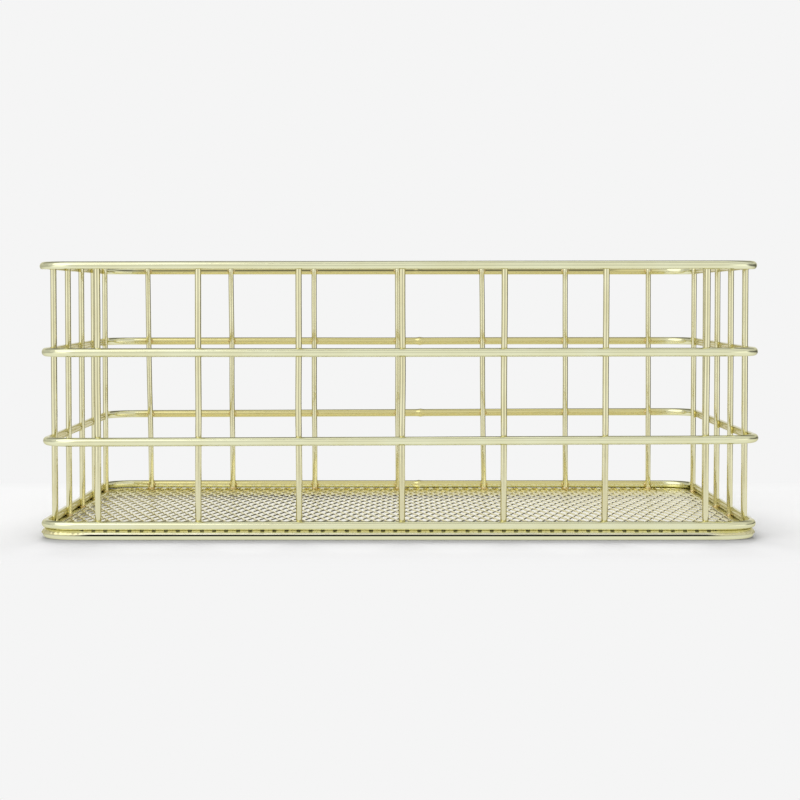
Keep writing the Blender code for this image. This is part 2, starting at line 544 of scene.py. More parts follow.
@dataclass(frozen=True)
class Plating:
    """A plated finish.

    Attributes:
        name: the material's name.
        colour: the plating in full light.
        deep: its tone where it lies thicker.
        rim: tint of what it reflects at a glancing angle.
        roughness: lowest roughness.
        haze: how much rougher it is in its dull patches.
        streak: height of the marks that drawing leaves along the wire.
        dimple: height of the plating's soft unevenness.
        drift: size of the patches in which its tone changes.
        reflected_gold: its tone on the sides that face into the basket, a painted yellow reflection of the
            plating round about.
        sheared: its tone on sheared faces, partly for the little plating that holds there and partly painted
            shade.
        shade_painted: whether a piece with this finish has the mark "soot", its painted dark lines of shade.
    """

    name: str
    colour: tuple[float, float, float]
    deep: tuple[float, float, float]
    rim: tuple[float, float, float]
    roughness: float
    haze: float
    streak: float
    dimple: float
    drift: float
    reflected_gold: tuple[float, float, float] = (0.74, 0.67, 0.31)
    sheared: tuple[float, float, float] = (0.10, 0.085, 0.045)
    shade_painted: bool = False


class Finishes:
    """The shared effects and the materials that use them.

    Attributes:
        STRAW, AMBER, BROWN: tints of the plating as it gets nearer to a weld; through the same tints the
            foot ring takes its painted brown shade under the hem's lip and the base ring's lower inner side
            is darker.
        HOLE_SHADE_BROWN: tone of a sheared face where the heat tint is strong, along the hem: painted brown
            shade in the holes of the mesh there.
        PAINTED_SHADE_TONE: tone of the painted dark lines of shade.
        TINT_STOPS: shares of the full heat at which the tints stand.
        TONE_SPAN: levels of noise between which the deep tone sets in.
        HEAT_SPAN: shares of the heat between which the tint sets in.
        HAZE_SPAN: levels of noise between which the dull patches set in.
        HEAT_GRAIN: scale of the noise that makes the heat uneven.
        HEAT_SWING: share of the heat that this noise adds at most, and the share without it.
        HEAT_DULLING: roughness that full heat adds.
        CUT_DULLING: roughness that a sheared face adds.
        CUT_MIRRORED: how much paler a sheared face is when seen in another wire, so that its painted shade
            is not mirrored.
        STREAK_SCALE: scales of the streaks along and round a wire.
        DIMPLE_SCALE: scales of the unevenness along and round a wire.
    """

    STRAW = (0.78, 0.62, 0.24, 1.0)
    AMBER = (0.50, 0.27, 0.05, 1.0)
    BROWN = (0.13, 0.065, 0.02, 1.0)
    # Painted shade: brown on the sheared faces in the mesh's holes along the hem
    HOLE_SHADE_BROWN = (0.26, 0.13, 0.02, 1.0)
    # Painted shade: near black for the gap under the hem's lip on the foot ring and for the rim's dark line
    PAINTED_SHADE_TONE = (0.007, 0.007, 0.004, 1.0)
    TINT_STOPS = ((0.0, STRAW), (0.35, STRAW), (0.7, AMBER), (1.0, BROWN))
    TONE_SPAN = (0.35, 0.68)
    HEAT_SPAN = (0.04, 0.5)
    HAZE_SPAN = (0.4, 0.75)
    HEAT_GRAIN = 900.0
    HEAT_SWING = (0.9, 0.55)
    HEAT_DULLING = 0.30
    CUT_DULLING = 0.15
    CUT_MIRRORED = 0.85
    STREAK_SCALE = (60.0, 4000.0, 4000.0)
    DIMPLE_SCALE = (220.0, 500.0, 500.0)

    def __init__(self) -> None:
        """Build each shared effect once."""
        self.tone = self._tone_group()
        self.heat = self._heat_group()
        self.surface = self._surface_group()

    @staticmethod
    def _group(name: str, given: dict[str, str], made: dict[str, str]) -> tuple[Board, dict]:
        """Start a node group.

        Args:
            name: the group's name.
            given: names of its inputs, each with Vector, Color or Float.
            made: names of its outputs, likewise.

        Returns:
            A board on the group, and its input sockets by name.
        """
        tree = bpy.data.node_groups.new(name, "ShaderNodeTree")
        for direction, sockets in (("INPUT", given), ("OUTPUT", made)):
            for title, kind in sockets.items():
                tree.interface.new_socket(title, in_out=direction, socket_type=f"NodeSocket{kind}")
        board = Board(tree)
        entry = board.add("NodeGroupInput")
        return board, {socket.name: socket for socket in entry.outputs if socket.name}

    def _tone_group(self) -> bpy.types.NodeTree:
        """Let a plating's tone drift between two colours, by patches of noise.

        Returns:
            The group.
        """
        sockets = {"Place": "Vector", "Colour": "Color", "Deep": "Color", "Scale": "Float"}
        board, given = self._group("tone_drift", sockets, {"Colour": "Color"})
        patches = board.noise(given["Place"], given["Scale"], detail=3.0, roughness=0.6)
        share = board.rise(patches, self.TONE_SPAN)
        board.add("NodeGroupOutput", Colour=board.mix(share, given["Colour"], given["Deep"]))
        return board.tree

    def _heat_group(self) -> bpy.types.NodeTree:
        """Tint the plating near a weld, through straw and amber to brown.

        Returns:
            The group.
        """
        sockets = {"Place": "Vector", "Colour": "Color", "Heat": "Float"}
        board, given = self._group("weld_heat", sockets, {"Colour": "Color", "Dulling": "Float"})
        uneven = board.noise(given["Place"], self.HEAT_GRAIN, detail=2.0, roughness=0.5)
        swing = board.math("MULTIPLY_ADD", uneven, *self.HEAT_SWING)
        warmth = board.math("MULTIPLY", given["Heat"], swing)
        tint = board.ramp(warmth, self.TINT_STOPS)
        colour = board.mix(board.rise(warmth, self.HEAT_SPAN), given["Colour"], tint)
        dulling = board.math("MULTIPLY", warmth, self.HEAT_DULLING)
        board.add("NodeGroupOutput", Colour=colour, Dulling=dulling)
        return board.tree

    def _surface_group(self) -> bpy.types.NodeTree:
        """Make the marks of drawing and the plating's soft unevenness.

        The first part of the Run vector goes along the wire and the other two
        go round it, so noise that is squeezed along the wire makes streaks.

        Returns:
            The group.
        """
        sockets = {"Run": "Vector", "Streak": "Float", "Dimple": "Float"}
        board, given = self._group("plated_surface", sockets, {"Height": "Float", "Haze": "Float"})
        drawn = board.add("ShaderNodeMapping", Vector=given["Run"], Scale=self.STREAK_SCALE)
        lines = board.noise(drawn.outputs["Vector"], 1.0, detail=3.0, roughness=0.6)
        soft = board.add("ShaderNodeMapping", Vector=given["Run"], Scale=self.DIMPLE_SCALE)
        waves = board.noise(soft.outputs["Vector"], 1.0, detail=2.0, roughness=0.5)
        streaks = board.math("MULTIPLY", lines, given["Streak"])
        height = board.math("ADD", streaks, board.math("MULTIPLY", waves, given["Dimple"]))
        board.add("NodeGroupOutput", Height=height, Haze=board.rise(waves, self.HAZE_SPAN))
        return board.tree

    def material(self, plating: Plating) -> bpy.types.Material:
        """Make the material of one plated finish.

        Args:
            plating: the finish.

        Returns:
            A Principled metal whose colour, roughness and bump come from the
            shared effects. It reads its piece's marks: "run", distances along
            and round the wire; "heat", the tint of a weld, which also gives the
            painted brown shade under the foot ring's lip and the darker lower inner
            side of the base ring; "cut", the sheared faces, dark partly for thin
            plating and partly as painted shade; "gold", the painted yellow reflection
            on the sides that face into the basket; and "soot", the painted dark lines
            of shade.
        """
        made = bpy.data.materials.new(plating.name)
        made.use_nodes = True
        made.node_tree.nodes.clear()
        board = Board(made.node_tree)
        place = board.add("ShaderNodeTexCoord").outputs["Object"]
        run = board.add("ShaderNodeAttribute", {"attribute_name": "run"}).outputs["Vector"]
        heat = board.mark("heat")
        cut = board.mark("cut")
        tone = board.group(
            self.tone,
            Place=place,
            Colour=solid(plating.colour),
            Deep=solid(plating.deep),
            Scale=1.0 / plating.drift,
        )
        # Painted reflection: the plating's yellow, as mirrored from the basket, comes in by the mark "gold"
        gold_reflected = board.mix(board.mark("gold"), tone.outputs["Colour"], solid(plating.reflected_gold))
        tinted = board.group(self.heat, Place=place, Colour=gold_reflected, Heat=heat)
        surface = board.group(self.surface, Run=run, Streak=plating.streak, Dimple=plating.dimple)
        dull = board.math("MULTIPLY_ADD", surface.outputs["Haze"], plating.haze, plating.roughness)
        dull = board.math("MULTIPLY_ADD", cut, self.CUT_DULLING, dull)
        roughness = board.math("ADD", dull, tinted.outputs["Dulling"])
        # A sheared face takes a dark tone, partly thin plating and partly painted shade, which turns to a
        # painted brown shade where the heat tint is strong
        browned = board.mix(heat, solid(plating.sheared), self.HOLE_SHADE_BROWN)
        # Seen in another wire, a sheared face keeps little of that painted shade
        mirrored = board.add("ShaderNodeLightPath").outputs["Is Glossy Ray"]
        sheared_shade_shown = board.math("MULTIPLY", cut, board.math("MULTIPLY_ADD", mirrored, -self.CUT_MIRRORED, 1.0))
        colour = board.mix(sheared_shade_shown, tinted.outputs["Colour"], browned)
        rim = solid(plating.rim)
        # Painted shade: the mark "soot" darkens colour and specular tint in the foot ring's crevice and
        # along the rim's dark line
        if plating.shade_painted:
            painted_shade = board.mark("painted_shade")
            colour = board.mix(painted_shade, colour, self.PAINTED_SHADE_TONE)
            rim = board.mix(painted_shade, rim, self.PAINTED_SHADE_TONE)
        bump = board.add("ShaderNodeBump", Height=surface.outputs["Height"], Distance=MM, Strength=1.0)
        shader = board.add(
            "ShaderNodeBsdfPrincipled",
            Base_Color=colour,
            Roughness=roughness,
            Metallic=1.0,
            Specular_Tint=rim,
            Normal=bump.outputs["Normal"],
        )
        board.add("ShaderNodeOutputMaterial", Surface=shader.outputs["BSDF"])
        return made


RING_PLATING = Plating(
    name="ring_plating",
    colour=(0.86, 0.868, 0.60),
    deep=(0.82, 0.81, 0.52),
    rim=(0.75, 0.73, 0.60),
    roughness=0.07,
    haze=0.06,
    streak=0.006,
    dimple=0.030,
    drift=22.0 * MM,
    shade_painted=True,
)
UPRIGHT_PLATING = Plating(
    name="upright_plating",
    colour=(0.79, 0.76, 0.51),
    deep=(0.73, 0.69, 0.43),
    rim=(0.72, 0.69, 0.55),
    roughness=0.06,
    haze=0.07,
    streak=0.006,
    dimple=0.040,
    drift=14.0 * MM,
)
WELD_PLATING = Plating(
    name="weld_plating",
    colour=(0.74, 0.62, 0.34),
    deep=(0.60, 0.44, 0.18),
    rim=(0.60, 0.52, 0.36),
    roughness=0.24,
    haze=0.16,
    streak=0.0,
    dimple=0.060,
    drift=3.0 * MM,
)
FLOOR_PLATING = Plating(
    name="floor_plating",
    colour=(0.91, 0.90, 0.77),
    deep=(0.86, 0.84, 0.66),
    rim=(0.94, 0.94, 0.90),
    roughness=0.20,
    haze=0.14,
    streak=0.004,
    dimple=0.030,
    drift=26.0 * MM,
    reflected_gold=(0.91, 0.83, 0.48),
    # Near black on the sheared faces: partly thin plating, partly painted shade of faces turned from the key
    # lamp
    sheared=(0.055, 0.044, 0.018),
)
HEM_PLATING = Plating(
    name="hem_plating",
    colour=(0.97, 0.96, 0.78),
    deep=(0.93, 0.90, 0.64),
    rim=(0.90, 0.88, 0.74),
    roughness=0.18,
    haze=0.14,
    streak=0.0,
    dimple=0.060,
    drift=9.0 * MM,
)


@dataclass
class Rings:
    """The five closed rings of wire.

    Below, inward, upward and downward parts are those of the direction from a
    wire's middle to its surface, from -1 to 1.

    Attributes:
        corner_radius: bend of the wall rings' centreline.
        weld_x: place of every ring's butt weld, on the back side.
        step: distance between sections along a wire.
        sides: points round a section.
        foot_sides: points round a section of the foot ring, fine enough for its stain.
        wander: how far a centreline strays inwards.
        wander_waves: numbers of waves round a ring in which it does.
        heave: how far it strays up and down.
        heave_waves: numbers of waves round a ring in which it does.
        shrink: how much shorter each end of a ring is than the CAD node's.
        swollen: how much thicker in radius the wall rings are than the CAD nodes.
        snug: how much thicker the foot ring is than its CAD node, to touch the sheet over it.
        bead_height: how far the butt weld stands out of the wire.
        bead_reach: its half width along the wire.
        bead_heat: strength of its tint.
        bead_glow: how far that tint goes, as a multiple of the bead's half width.
        heat_reach: how far the tint of a weld goes along the wire.
        reflecting_side: inward parts between which the painted yellow reflection sets in.
        corner_fade: distances into a corner between which the painted yellow reflection and the painted
            shade fade.
        corner_loss: how much of them a corner loses.
        shaded_side: inward part up to which the foot ring takes its painted shade.
        crevice: angles up the foot ring's side between which its painted black shade of the gap under the
            lip sets in.
        under_lip_shade: angles over which the painted black shade gives way to the painted brown shade under
            the lip.
        under_lip_shade_heat: strength of that painted brown shade, given through the heat tint.
        line_foot: upward parts between which the rim's painted dark line of shade sets in.
        line_top: upward parts between which it ends.
        line_back: backward parts of the rim's outward direction between which it sets in.
        line_end: places along X between which it ends.
        nook_in: inward parts between which the base ring's darker lower inner side sets in.
        nook_down: downward parts between which it sets in.
        nook_left: distances to the left between which it sets in along the walls.
        nook_heat: strength of its tint.
        shaded_down: upward parts between which the base ring's painted yellow reflection fades.
        shaded_loss: how much of that painted reflection its lower half loses.
        wall_names: the CAD nodes of the rings that the uprights are welded to.
    """

    corner_radius: float = 12.0 * MM
    weld_x: float = 8.7 * MM
    step: float = 0.95 * MM
    sides: int = 24
    foot_sides: int = 60
    wander: float = 0.16 * MM
    wander_waves: range = range(2, 9)
    heave: float = 0.09 * MM
    heave_waves: range = range(2, 12)
    shrink: float = 1.10 * MM
    swollen: float = 0.07 * MM
    snug: float = 0.45 * MM
    bead_height: float = 0.42 * MM
    bead_reach: float = 0.8 * MM
    bead_heat: float = 0.5
    bead_glow: float = 2.0
    heat_reach: float = 2.4 * MM
    reflecting_side: tuple[float, float] = (-0.1, 0.7)
    corner_fade: tuple[float, float] = (-6.0 * MM, 2.0 * MM)
    corner_loss: float = 0.75
    shaded_side: float = 0.1
    crevice: tuple[float, float] = (math.radians(-8.0), math.radians(-2.0))
    under_lip_shade: tuple[float, float] = (math.radians(28.0), math.radians(36.0))
    under_lip_shade_heat: float = 0.32
    line_foot: tuple[float, float] = (0.10, 0.28)
    line_top: tuple[float, float] = (0.58, 0.40)
    line_back: tuple[float, float] = (0.5, 0.95)
    line_end: tuple[float, float] = (98.0 * MM, 88.0 * MM)
    nook_in: tuple[float, float] = (-0.2, 0.6)
    nook_down: tuple[float, float] = (0.1, 0.8)
    nook_left: tuple[float, float] = (20.0 * MM, 80.0 * MM)
    nook_heat: float = 0.8
    shaded_down: tuple[float, float] = (0.2, -0.3)
    shaded_loss: float = 0.75
    wall_names: tuple[str, ...] = ("rim_ring", "upper_ring", "lower_ring", "base_ring")

    def loop(self, name: str) -> RoundedLoop:
        """Work out the centreline of a ring, seen from above.

        Args:
            name: the ring's node.

        Returns:
            The centreline, whose corners turn about the rim's corner centres.
        """
        low, high = node_box(name)
        half_wire = (high[2] - low[2]) / 2.0
        rim_low, rim_high = node_box("rim_ring")
        inset = (rim_high[0] - (rim_high[2] - rim_low[2]) / 2.0) - (high[0] - half_wire)
        return RoundedLoop(high[0] - half_wire, high[1] - half_wire, self.corner_radius - inset, self.weld_x)

    def lean(self, name: str, places: np.ndarray) -> np.ndarray:
        """Return how far a ring stands off its CAD node.

        It stands aside by one distance, it is raised by a plane that climbs to
        the right and to the back, and its ends are drawn in by the cube of the
        share of the way to the corners.

        Args:
            name: the ring's node.
            places: positions on it, shape (n, 3).

        Returns:
            Shifts of shape (n, 3).
        """
        aside, right, back = LEAN[name]
        half_length, half_depth = node_box(name)[1][:2]
        rise = right * places[:, 0] / half_length + back * (0.5 + 0.5 * places[:, 1] / half_depth)
        shrunk = -self.shrink * np.clip(places[:, 0] / (half_length - self.corner_radius), -1.0, 1.0) ** 3
        return MM * np.stack([aside + shrunk / MM, np.zeros(len(places)), rise], -1)

    def skin(self, name: str, weld_places: np.ndarray, seed: int) -> Skin:
        """Work out one ring.

        A circle is carried along the rounded loop. The centreline strays a
        little inwards and up and down by a ripple, and it leans as the real
        ring does. At the butt weld the radius grows by a bell curve, which is
        filed flush where it would leave the ring's box.

        Args:
            name: the CAD node.
            weld_places: points where the ring is welded to uprights, (k, 3).
            seed: fixes the ripples.

        Returns:
            The ring's skin, with the marks "run", "heat", "gold" and, on the
            foot ring and the rim, "soot".
        """
        is_foot = name == "foot_ring"
        low, high = node_box(name)
        radius = (high[2] - low[2]) / 2.0
        if is_foot:
            radius = radius + self.snug / 2.0
            low, high = low - np.array([self.snug, self.snug, 0.0]), high + self.snug
        else:
            radius = radius + self.swollen
        loop = self.loop(name)
        along = loop.sections(self.step)
        rows = len(along)
        places, outward = loop.walk(along)
        sides = self.foot_sides if is_foot else self.sides
        turns = full_turn(sides)
        inward = self.wander * (0.5 + 0.5 * ripple(along, loop.length, self.wander_waves, seed))
        if not is_foot:
            inward = inward + self.swollen
        shift = self.lean(name, places)
        rise = self.heave * ripple(along, loop.length, self.heave_waves, seed + 1) + shift[:, 2]
        height = (low[2] + high[2]) / 2.0 + self.kept_in_box(name, rise)
        centres = places - inward[:, None] * outward + height[:, None] * WORLD_UP
        centres[:, 0] += shift[:, 0]
        from_weld = np.minimum(along, loop.length - along)
        bead = self.bead_height * np.exp(-((from_weld / self.bead_reach) ** 2))
        radii = radius + bead[:, None] * (0.5 - 0.5 * np.cos(turns))[None, :]
        points = smooth_tube(centres, outward, WORLD_UP[None], radii, turns).reshape(-1, 3)
        round_wire = (np.tile(radius * np.cos(turns), rows), np.tile(radius * np.sin(turns), rows))
        marks = self.tints(name, places, outward, turns)
        glow = np.exp(-((from_weld / (self.bead_glow * self.bead_reach)) ** 2))
        bead_heat = self.bead_heat * np.repeat(glow, sides)
        warmest = np.maximum(self.weld_heat(points, weld_places), bead_heat)
        marks["heat"] = np.maximum(marks["heat"], warmest)
        marks["run"] = np.stack([np.repeat(along, sides), *round_wire], -1)
        skin = Skin(points, grid_quads(rows, sides, True, True), marks=marks)
        return skin if name in self.wall_names[1:] else skin.held_in(low, high)

    def tints(
        self, name: str, places: np.ndarray, outward: np.ndarray, turns: np.ndarray
    ) -> dict[str, np.ndarray]:
        """Return the marks of a ring, but for its welds' heat.

        Each is the product of a share along the ring and a share round the
        section. The inner side of every ring takes a painted yellow reflection
        of the basket. The foot ring's outer side goes from plain through painted
        black shade to painted brown shade on its way up under the hem's lip, the
        rim has a painted dark line of shade along the back of its inner side, and
        the base ring's lower inner side is tinted darker at the ends and towards
        the left. Its lower half takes less of the painted reflection than the others'.

        Args:
            name: the CAD node.
            places: the loop's positions, shape (n, 3).
            outward: its outward directions, shape (n, 3).
            turns: angles round the section, shape (m,).

        Returns:
            The marks "gold", "heat" and, on the foot ring and the rim, "soot".
        """
        inner, upper = -np.cos(turns), np.sin(turns)
        into_corner = np.minimum(*self.loop(name).past_straights(places))
        straight = 1.0 - self.corner_loss * smoothstep(*self.corner_fade, into_corner)
        # Painted yellow reflection on the inner side, which faces into the basket
        reflected_gold = smoothstep(*self.reflecting_side, inner)
        heat = np.zeros(len(places) * len(turns))
        marks = {}
        if name == "foot_ring":
            # Painted shade under the hem's lip: near black low down, then brown through the heat tint
            climb = np.where(inner < self.shaded_side, np.arcsin(upper), -math.pi / 2.0)
            brown = smoothstep(*self.under_lip_shade, climb)
            marks["painted_shade"] = crossed(straight, smoothstep(*self.crevice, climb) * (1.0 - brown))
            heat = self.under_lip_shade_heat * np.tile(brown, len(places))
        # Painted shade: a dark line along the back of the rim's inner side
        if name == "rim_ring":
            line = smoothstep(*self.line_foot, upper) * smoothstep(*self.line_top, upper) * (inner > 0.0)
            at_back = smoothstep(*self.line_back, outward[:, 1]) * smoothstep(*self.line_end, places[:, 0])
            marks["painted_shade"] = crossed(at_back, line)
        if name == "base_ring":
            # Less painted reflection on the base ring's lower half
            reflected_gold = reflected_gold * (1.0 - self.shaded_loss * smoothstep(*self.shaded_down, upper))
            # The lower inner side is tinted darker through the heat tint, along the side walls and towards
            # the left
            nook = smoothstep(*self.nook_in, inner) * smoothstep(*self.nook_down, -upper)
            nook_along = np.maximum(np.abs(outward[:, 0]), smoothstep(*self.nook_left, -places[:, 0]))
            heat = self.nook_heat * crossed(nook_along, nook)
        return marks | {"gold": crossed(straight, reflected_gold), "heat": heat}

    def kept_in_box(self, name: str, rise: np.ndarray) -> np.ndarray:
        """Shift a ring's heights so that it stays inside the basket's box.

        Args:
            name: the CAD node.
            rise: heights over the node's middle, shape (n,).

        Returns:
            Heights by which the rim stays below its top and the foot ring
            above the ground.
        """
        if name == "rim_ring":
            return rise - rise.max() - self.swollen
        if name == "foot_ring":
            return rise - rise.min()
        return rise

    def weld_heat(self, points: np.ndarray, weld_places: np.ndarray) -> np.ndarray:
        """Return the tint at points of a ring.

        It is a bell curve of the distance to the nearest weld.

        Args:
            points: positions, shape (n, 3).
            weld_places: positions of the welds, shape (k, 3).

        Returns:
            Values from 0 to 1, shape (n,).
        """
        gaps = points[:, None, :] - weld_places[None, :, :]
        nearest = np.sqrt((gaps**2).sum(-1)).min(1)
        return np.exp(-((nearest / self.heat_reach) ** 2))

    def build(self, finishes: Finishes, uprights: "Uprights") -> None:
        """Make the five rings.

        Args:
            finishes: what the materials are made with.
            uprights: the wires that are welded to the rings.
        """
        material = finishes.material(RING_PLATING)
        for seed, name in zip(RING_SEEDS, (*self.wall_names, "foot_ring")):
            skin = self.skin(name, uprights.weld_places(name, self), seed)
            dress(f"{name}_wire", skin, material, Slot.RING, name)


# How far each ring stands to the right of its CAD node, how much its right end is
# raised and its left end lowered, and how much its back is raised, in mm
LEAN = {
    "rim_ring": (-0.40, 0.15, 0.0),
    "upper_ring": (0.10, 0.10, 0.70),
    "lower_ring": (0.45, 0.50, 0.90),
    "base_ring": (-0.30, 0.0, 0.0),
    "foot_ring": (-0.45, 0.0, 0.0),
}
# How far each upright's upper and lower end stand off its CAD node along the wall,
# anticlockwise seen from above, so to the right at the front, in mm
DRIFT = {
    Wall.FRONT: ((0.9, 0.9), (0.7, 0.5), (0.3, 0.3), (1.0, 0.9), (1.3, 1.0), (1.3, 0.9), (1.1, 0.8)),
    Wall.BACK: ((0.7, -0.5), (0.8, 0.2), (0.9, 0.7), (0.9, 0.6), (0.5, -0.5), (0.5, 0.1), (0.6, 0.3)),
    Wall.LEFT: ((0.3, -0.3), (0.3, 0.1), (-0.2, 0.2), (0.5, 0.3), (0.3, 0.2)),
    Wall.RIGHT: ((0.2, -0.3), (-0.1, -0.3), (0.3, 0.1), (-0.5, -0.4), (0.1, 0.4)),
}


@dataclass(frozen=True)
class Stand:
    """Where one upright stands.

    Attributes:
        name: its CAD node.
        wall: the wall that it belongs to.
        bottom: centre of its lower end in the CAD.
        top: centre of its upper end in the CAD.
        drifts: how far the upper and the lower end stand off these places, in mm.
    """

    name: str
    wall: Wall
    bottom: np.ndarray
    top: np.ndarray
    drifts: tuple[float, float]

    @property
    def height(self) -> float:
        """The wire's length."""
        return self.top[2] - self.bottom[2]

    @property
    def along_wall(self) -> np.ndarray:
        """The unit vector along the wall, anticlockwise seen from above."""
        return np.cross(WORLD_UP, self.wall.outward)

    def drift(self, above: np.ndarray) -> np.ndarray:
        """Return the wire's distance aside at heights over its lower end, by a straight line."""
        upper, lower = self.drifts
        return MM * (lower + (upper - lower) * above / self.height)


@dataclass
class Uprights:
    """The upright wires of the four walls.

    Attributes:
        step: distance between sections along a wire.
        sides: points round a section.
        bow: how far a wire bows sideways between its ends.
        bow_waves: numbers of waves on twice its length in which it does.
        end_round: radius of the rounded edge at both ends.
        end_shares: places of the sections on that edge, as shares of a quarter turn.
        heat_reach: how far the tint of a weld goes along a wire.
        side_heat: share of that tint at the wire's sides, where its outer side has the whole.
        foot_heat: strength of the tint at the floor.
        foot_heat_reach: how far the tint climbs from the floor.
    """

    step: float = 1.1 * MM
    sides: int = 20
    bow: float = 0.22 * MM
    bow_waves: range = range(1, 5)
    end_round: float = 0.35 * MM
    end_shares: tuple[float, ...] = (0.0, 0.3, 0.6, 1.0)
    heat_reach: float = 1.7 * MM
    side_heat: float = 0.55
    foot_heat: float = 0.42
    foot_heat_reach: float = 9.0 * MM

    def stands(self) -> list[Stand]:
        """Find where the uprights stand, wall by wall.

        Returns:
            The uprights in the order of the walls and of their names.
        """
        found = []
        for wall in Wall:
            names = sorted(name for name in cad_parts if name.startswith(f"{wall.title}_upright"))
            for name, drifts in zip(names, DRIFT[wall]):
                low, high = node_box(name)
                middle = (low + high)[:2] / 2.0
                bottom, top = np.array([*middle, low[2]]), np.array([*middle, high[2]])
                found.append(Stand(name, wall, bottom, top, drifts))
        return found

    def radius(self) -> float:
        """Return the wires' radius."""
        low, high = node_box(self.stands()[0].name)
        return float(min(high[:2] - low[:2]) / 2.0)

    def weld_places(self, ring: str, rings: Rings) -> np.ndarray:
        """Return the points where uprights touch a ring.

        Args:
            ring: the ring's CAD node.
            rings: how the rings lie.

        Returns:
            Positions halfway between the two wires, shape (k, 3).
        """
        ring_low, ring_high = node_box(ring)
        height = (ring_low[2] + ring_high[2]) / 2.0
        half_wire = (ring_high[2] - ring_low[2]) / 2.0
        ring_side = np.array([ring_high[0], ring_high[1], 0.0]) - 2.0 * half_wire
        radius = self.radius()
        found = []
        for stand in self.stands():
            outward = stand.wall.outward
            between = (stand.bottom + radius * outward + ring_side * outward) / 2.0
            aside = stand.bottom + stand.drift(height - stand.bottom[2]) * stand.along_wall
            spot = np.where(np.abs(outward) > 0, between, aside)
            found.append([spot[0], spot[1], height])
        places = np.array(found)
        return places + rings.lean(ring, places) * WORLD_UP

    def skin(self, stand: Stand, ring_heights: np.ndarray, seed: int) -> Skin:
        """Work out one upright.

        A circle is carried up the wire's centreline, which leans by a straight
        line and bows by a ripple times a half sine, nought at both ends. Both
        ends are closed by a pole, and their edge is a quarter circle.

        Args:
            stand: where it stands.
            ring_heights: heights of the rings it is welded to.
            seed: fixes the ripple.

        Returns:
            The wire's skin, with the marks "run" and "heat".
        """
        radius = self.radius()
        height = stand.height
        edge = np.array(self.end_shares) * math.pi / 2.0
        rounding = self.end_round * (1.0 - np.sin(edge))
        lift = self.end_round * (1.0 - np.cos(edge))
        rows = int(round(height / self.step))
        body = np.linspace(self.end_round, height - self.end_round, rows)[1:-1]
        above = np.concatenate([lift, body, height - lift[::-1]])
        radii = radius - np.concatenate([rounding, np.zeros(len(body)), rounding[::-1]])
        turns = full_turn(self.sides)
        sway = self.bow * np.sin(math.pi * above / height)
        aside = sway * ripple(above, 2.0 * height, self.bow_waves, seed) + stand.drift(above)
        centres = stand.bottom + above[:, None] * WORLD_UP + aside[:, None] * stand.along_wall
        tube = smooth_tube(centres, stand.wall.outward[None], stand.along_wall[None], radii[:, None], turns)
        ends = centres[[0, -1]] * np.array([1.0, 1.0, 0.0]) + np.stack([stand.bottom, stand.top]) * WORLD_UP
        points = np.concatenate([tube.reshape(-1, 3), ends])
        gaps = (stand.bottom[2] + above)[:, None] - ring_heights[None, :]
        weld = np.exp(-(gaps**2) / self.heat_reach**2).max(1)
        outer = self.side_heat + (1.0 - self.side_heat) * np.cos(turns)
        foot = self.foot_heat * np.exp(-above / self.foot_heat_reach)
        heat = np.maximum(weld[:, None] * outer[None, :], foot[:, None])
        round_wire = (radius * np.cos(turns)[None, :], radius * np.sin(turns)[None, :])
        run = np.stack(np.broadcast_arrays(above[:, None], *round_wire), -1).reshape(-1, 3)
        marks = {
            "run": np.concatenate([run, [[0.0, 0.0, 0.0]], [[height, 0.0, 0.0]]]),
            "heat": np.concatenate([heat.ravel(), [self.foot_heat], [0.0]]),
        }
        quads = grid_quads(len(above), self.sides, False, True)[:, ::-1]
        return Skin(points, quads, pole_fans(len(above), self.sides, True), marks)

    def build(self, finishes: Finishes, rings: Rings) -> None:
        """Make every upright.

        Args:
            finishes: what the materials are made with.
            rings: the rings that the wires are welded to.
        """
        material = finishes.material(UPRIGHT_PLATING)
        heights = np.stack([self.weld_places(name, rings)[:, 2] for name in rings.wall_names], -1)
        for number, stand in enumerate(self.stands()):
            skin = self.skin(stand, heights[number], FIRST_UPRIGHT_SEED + number)
            dress(f"{stand.name}_wire", skin, material, Slot.UPRIGHT, stand.name)


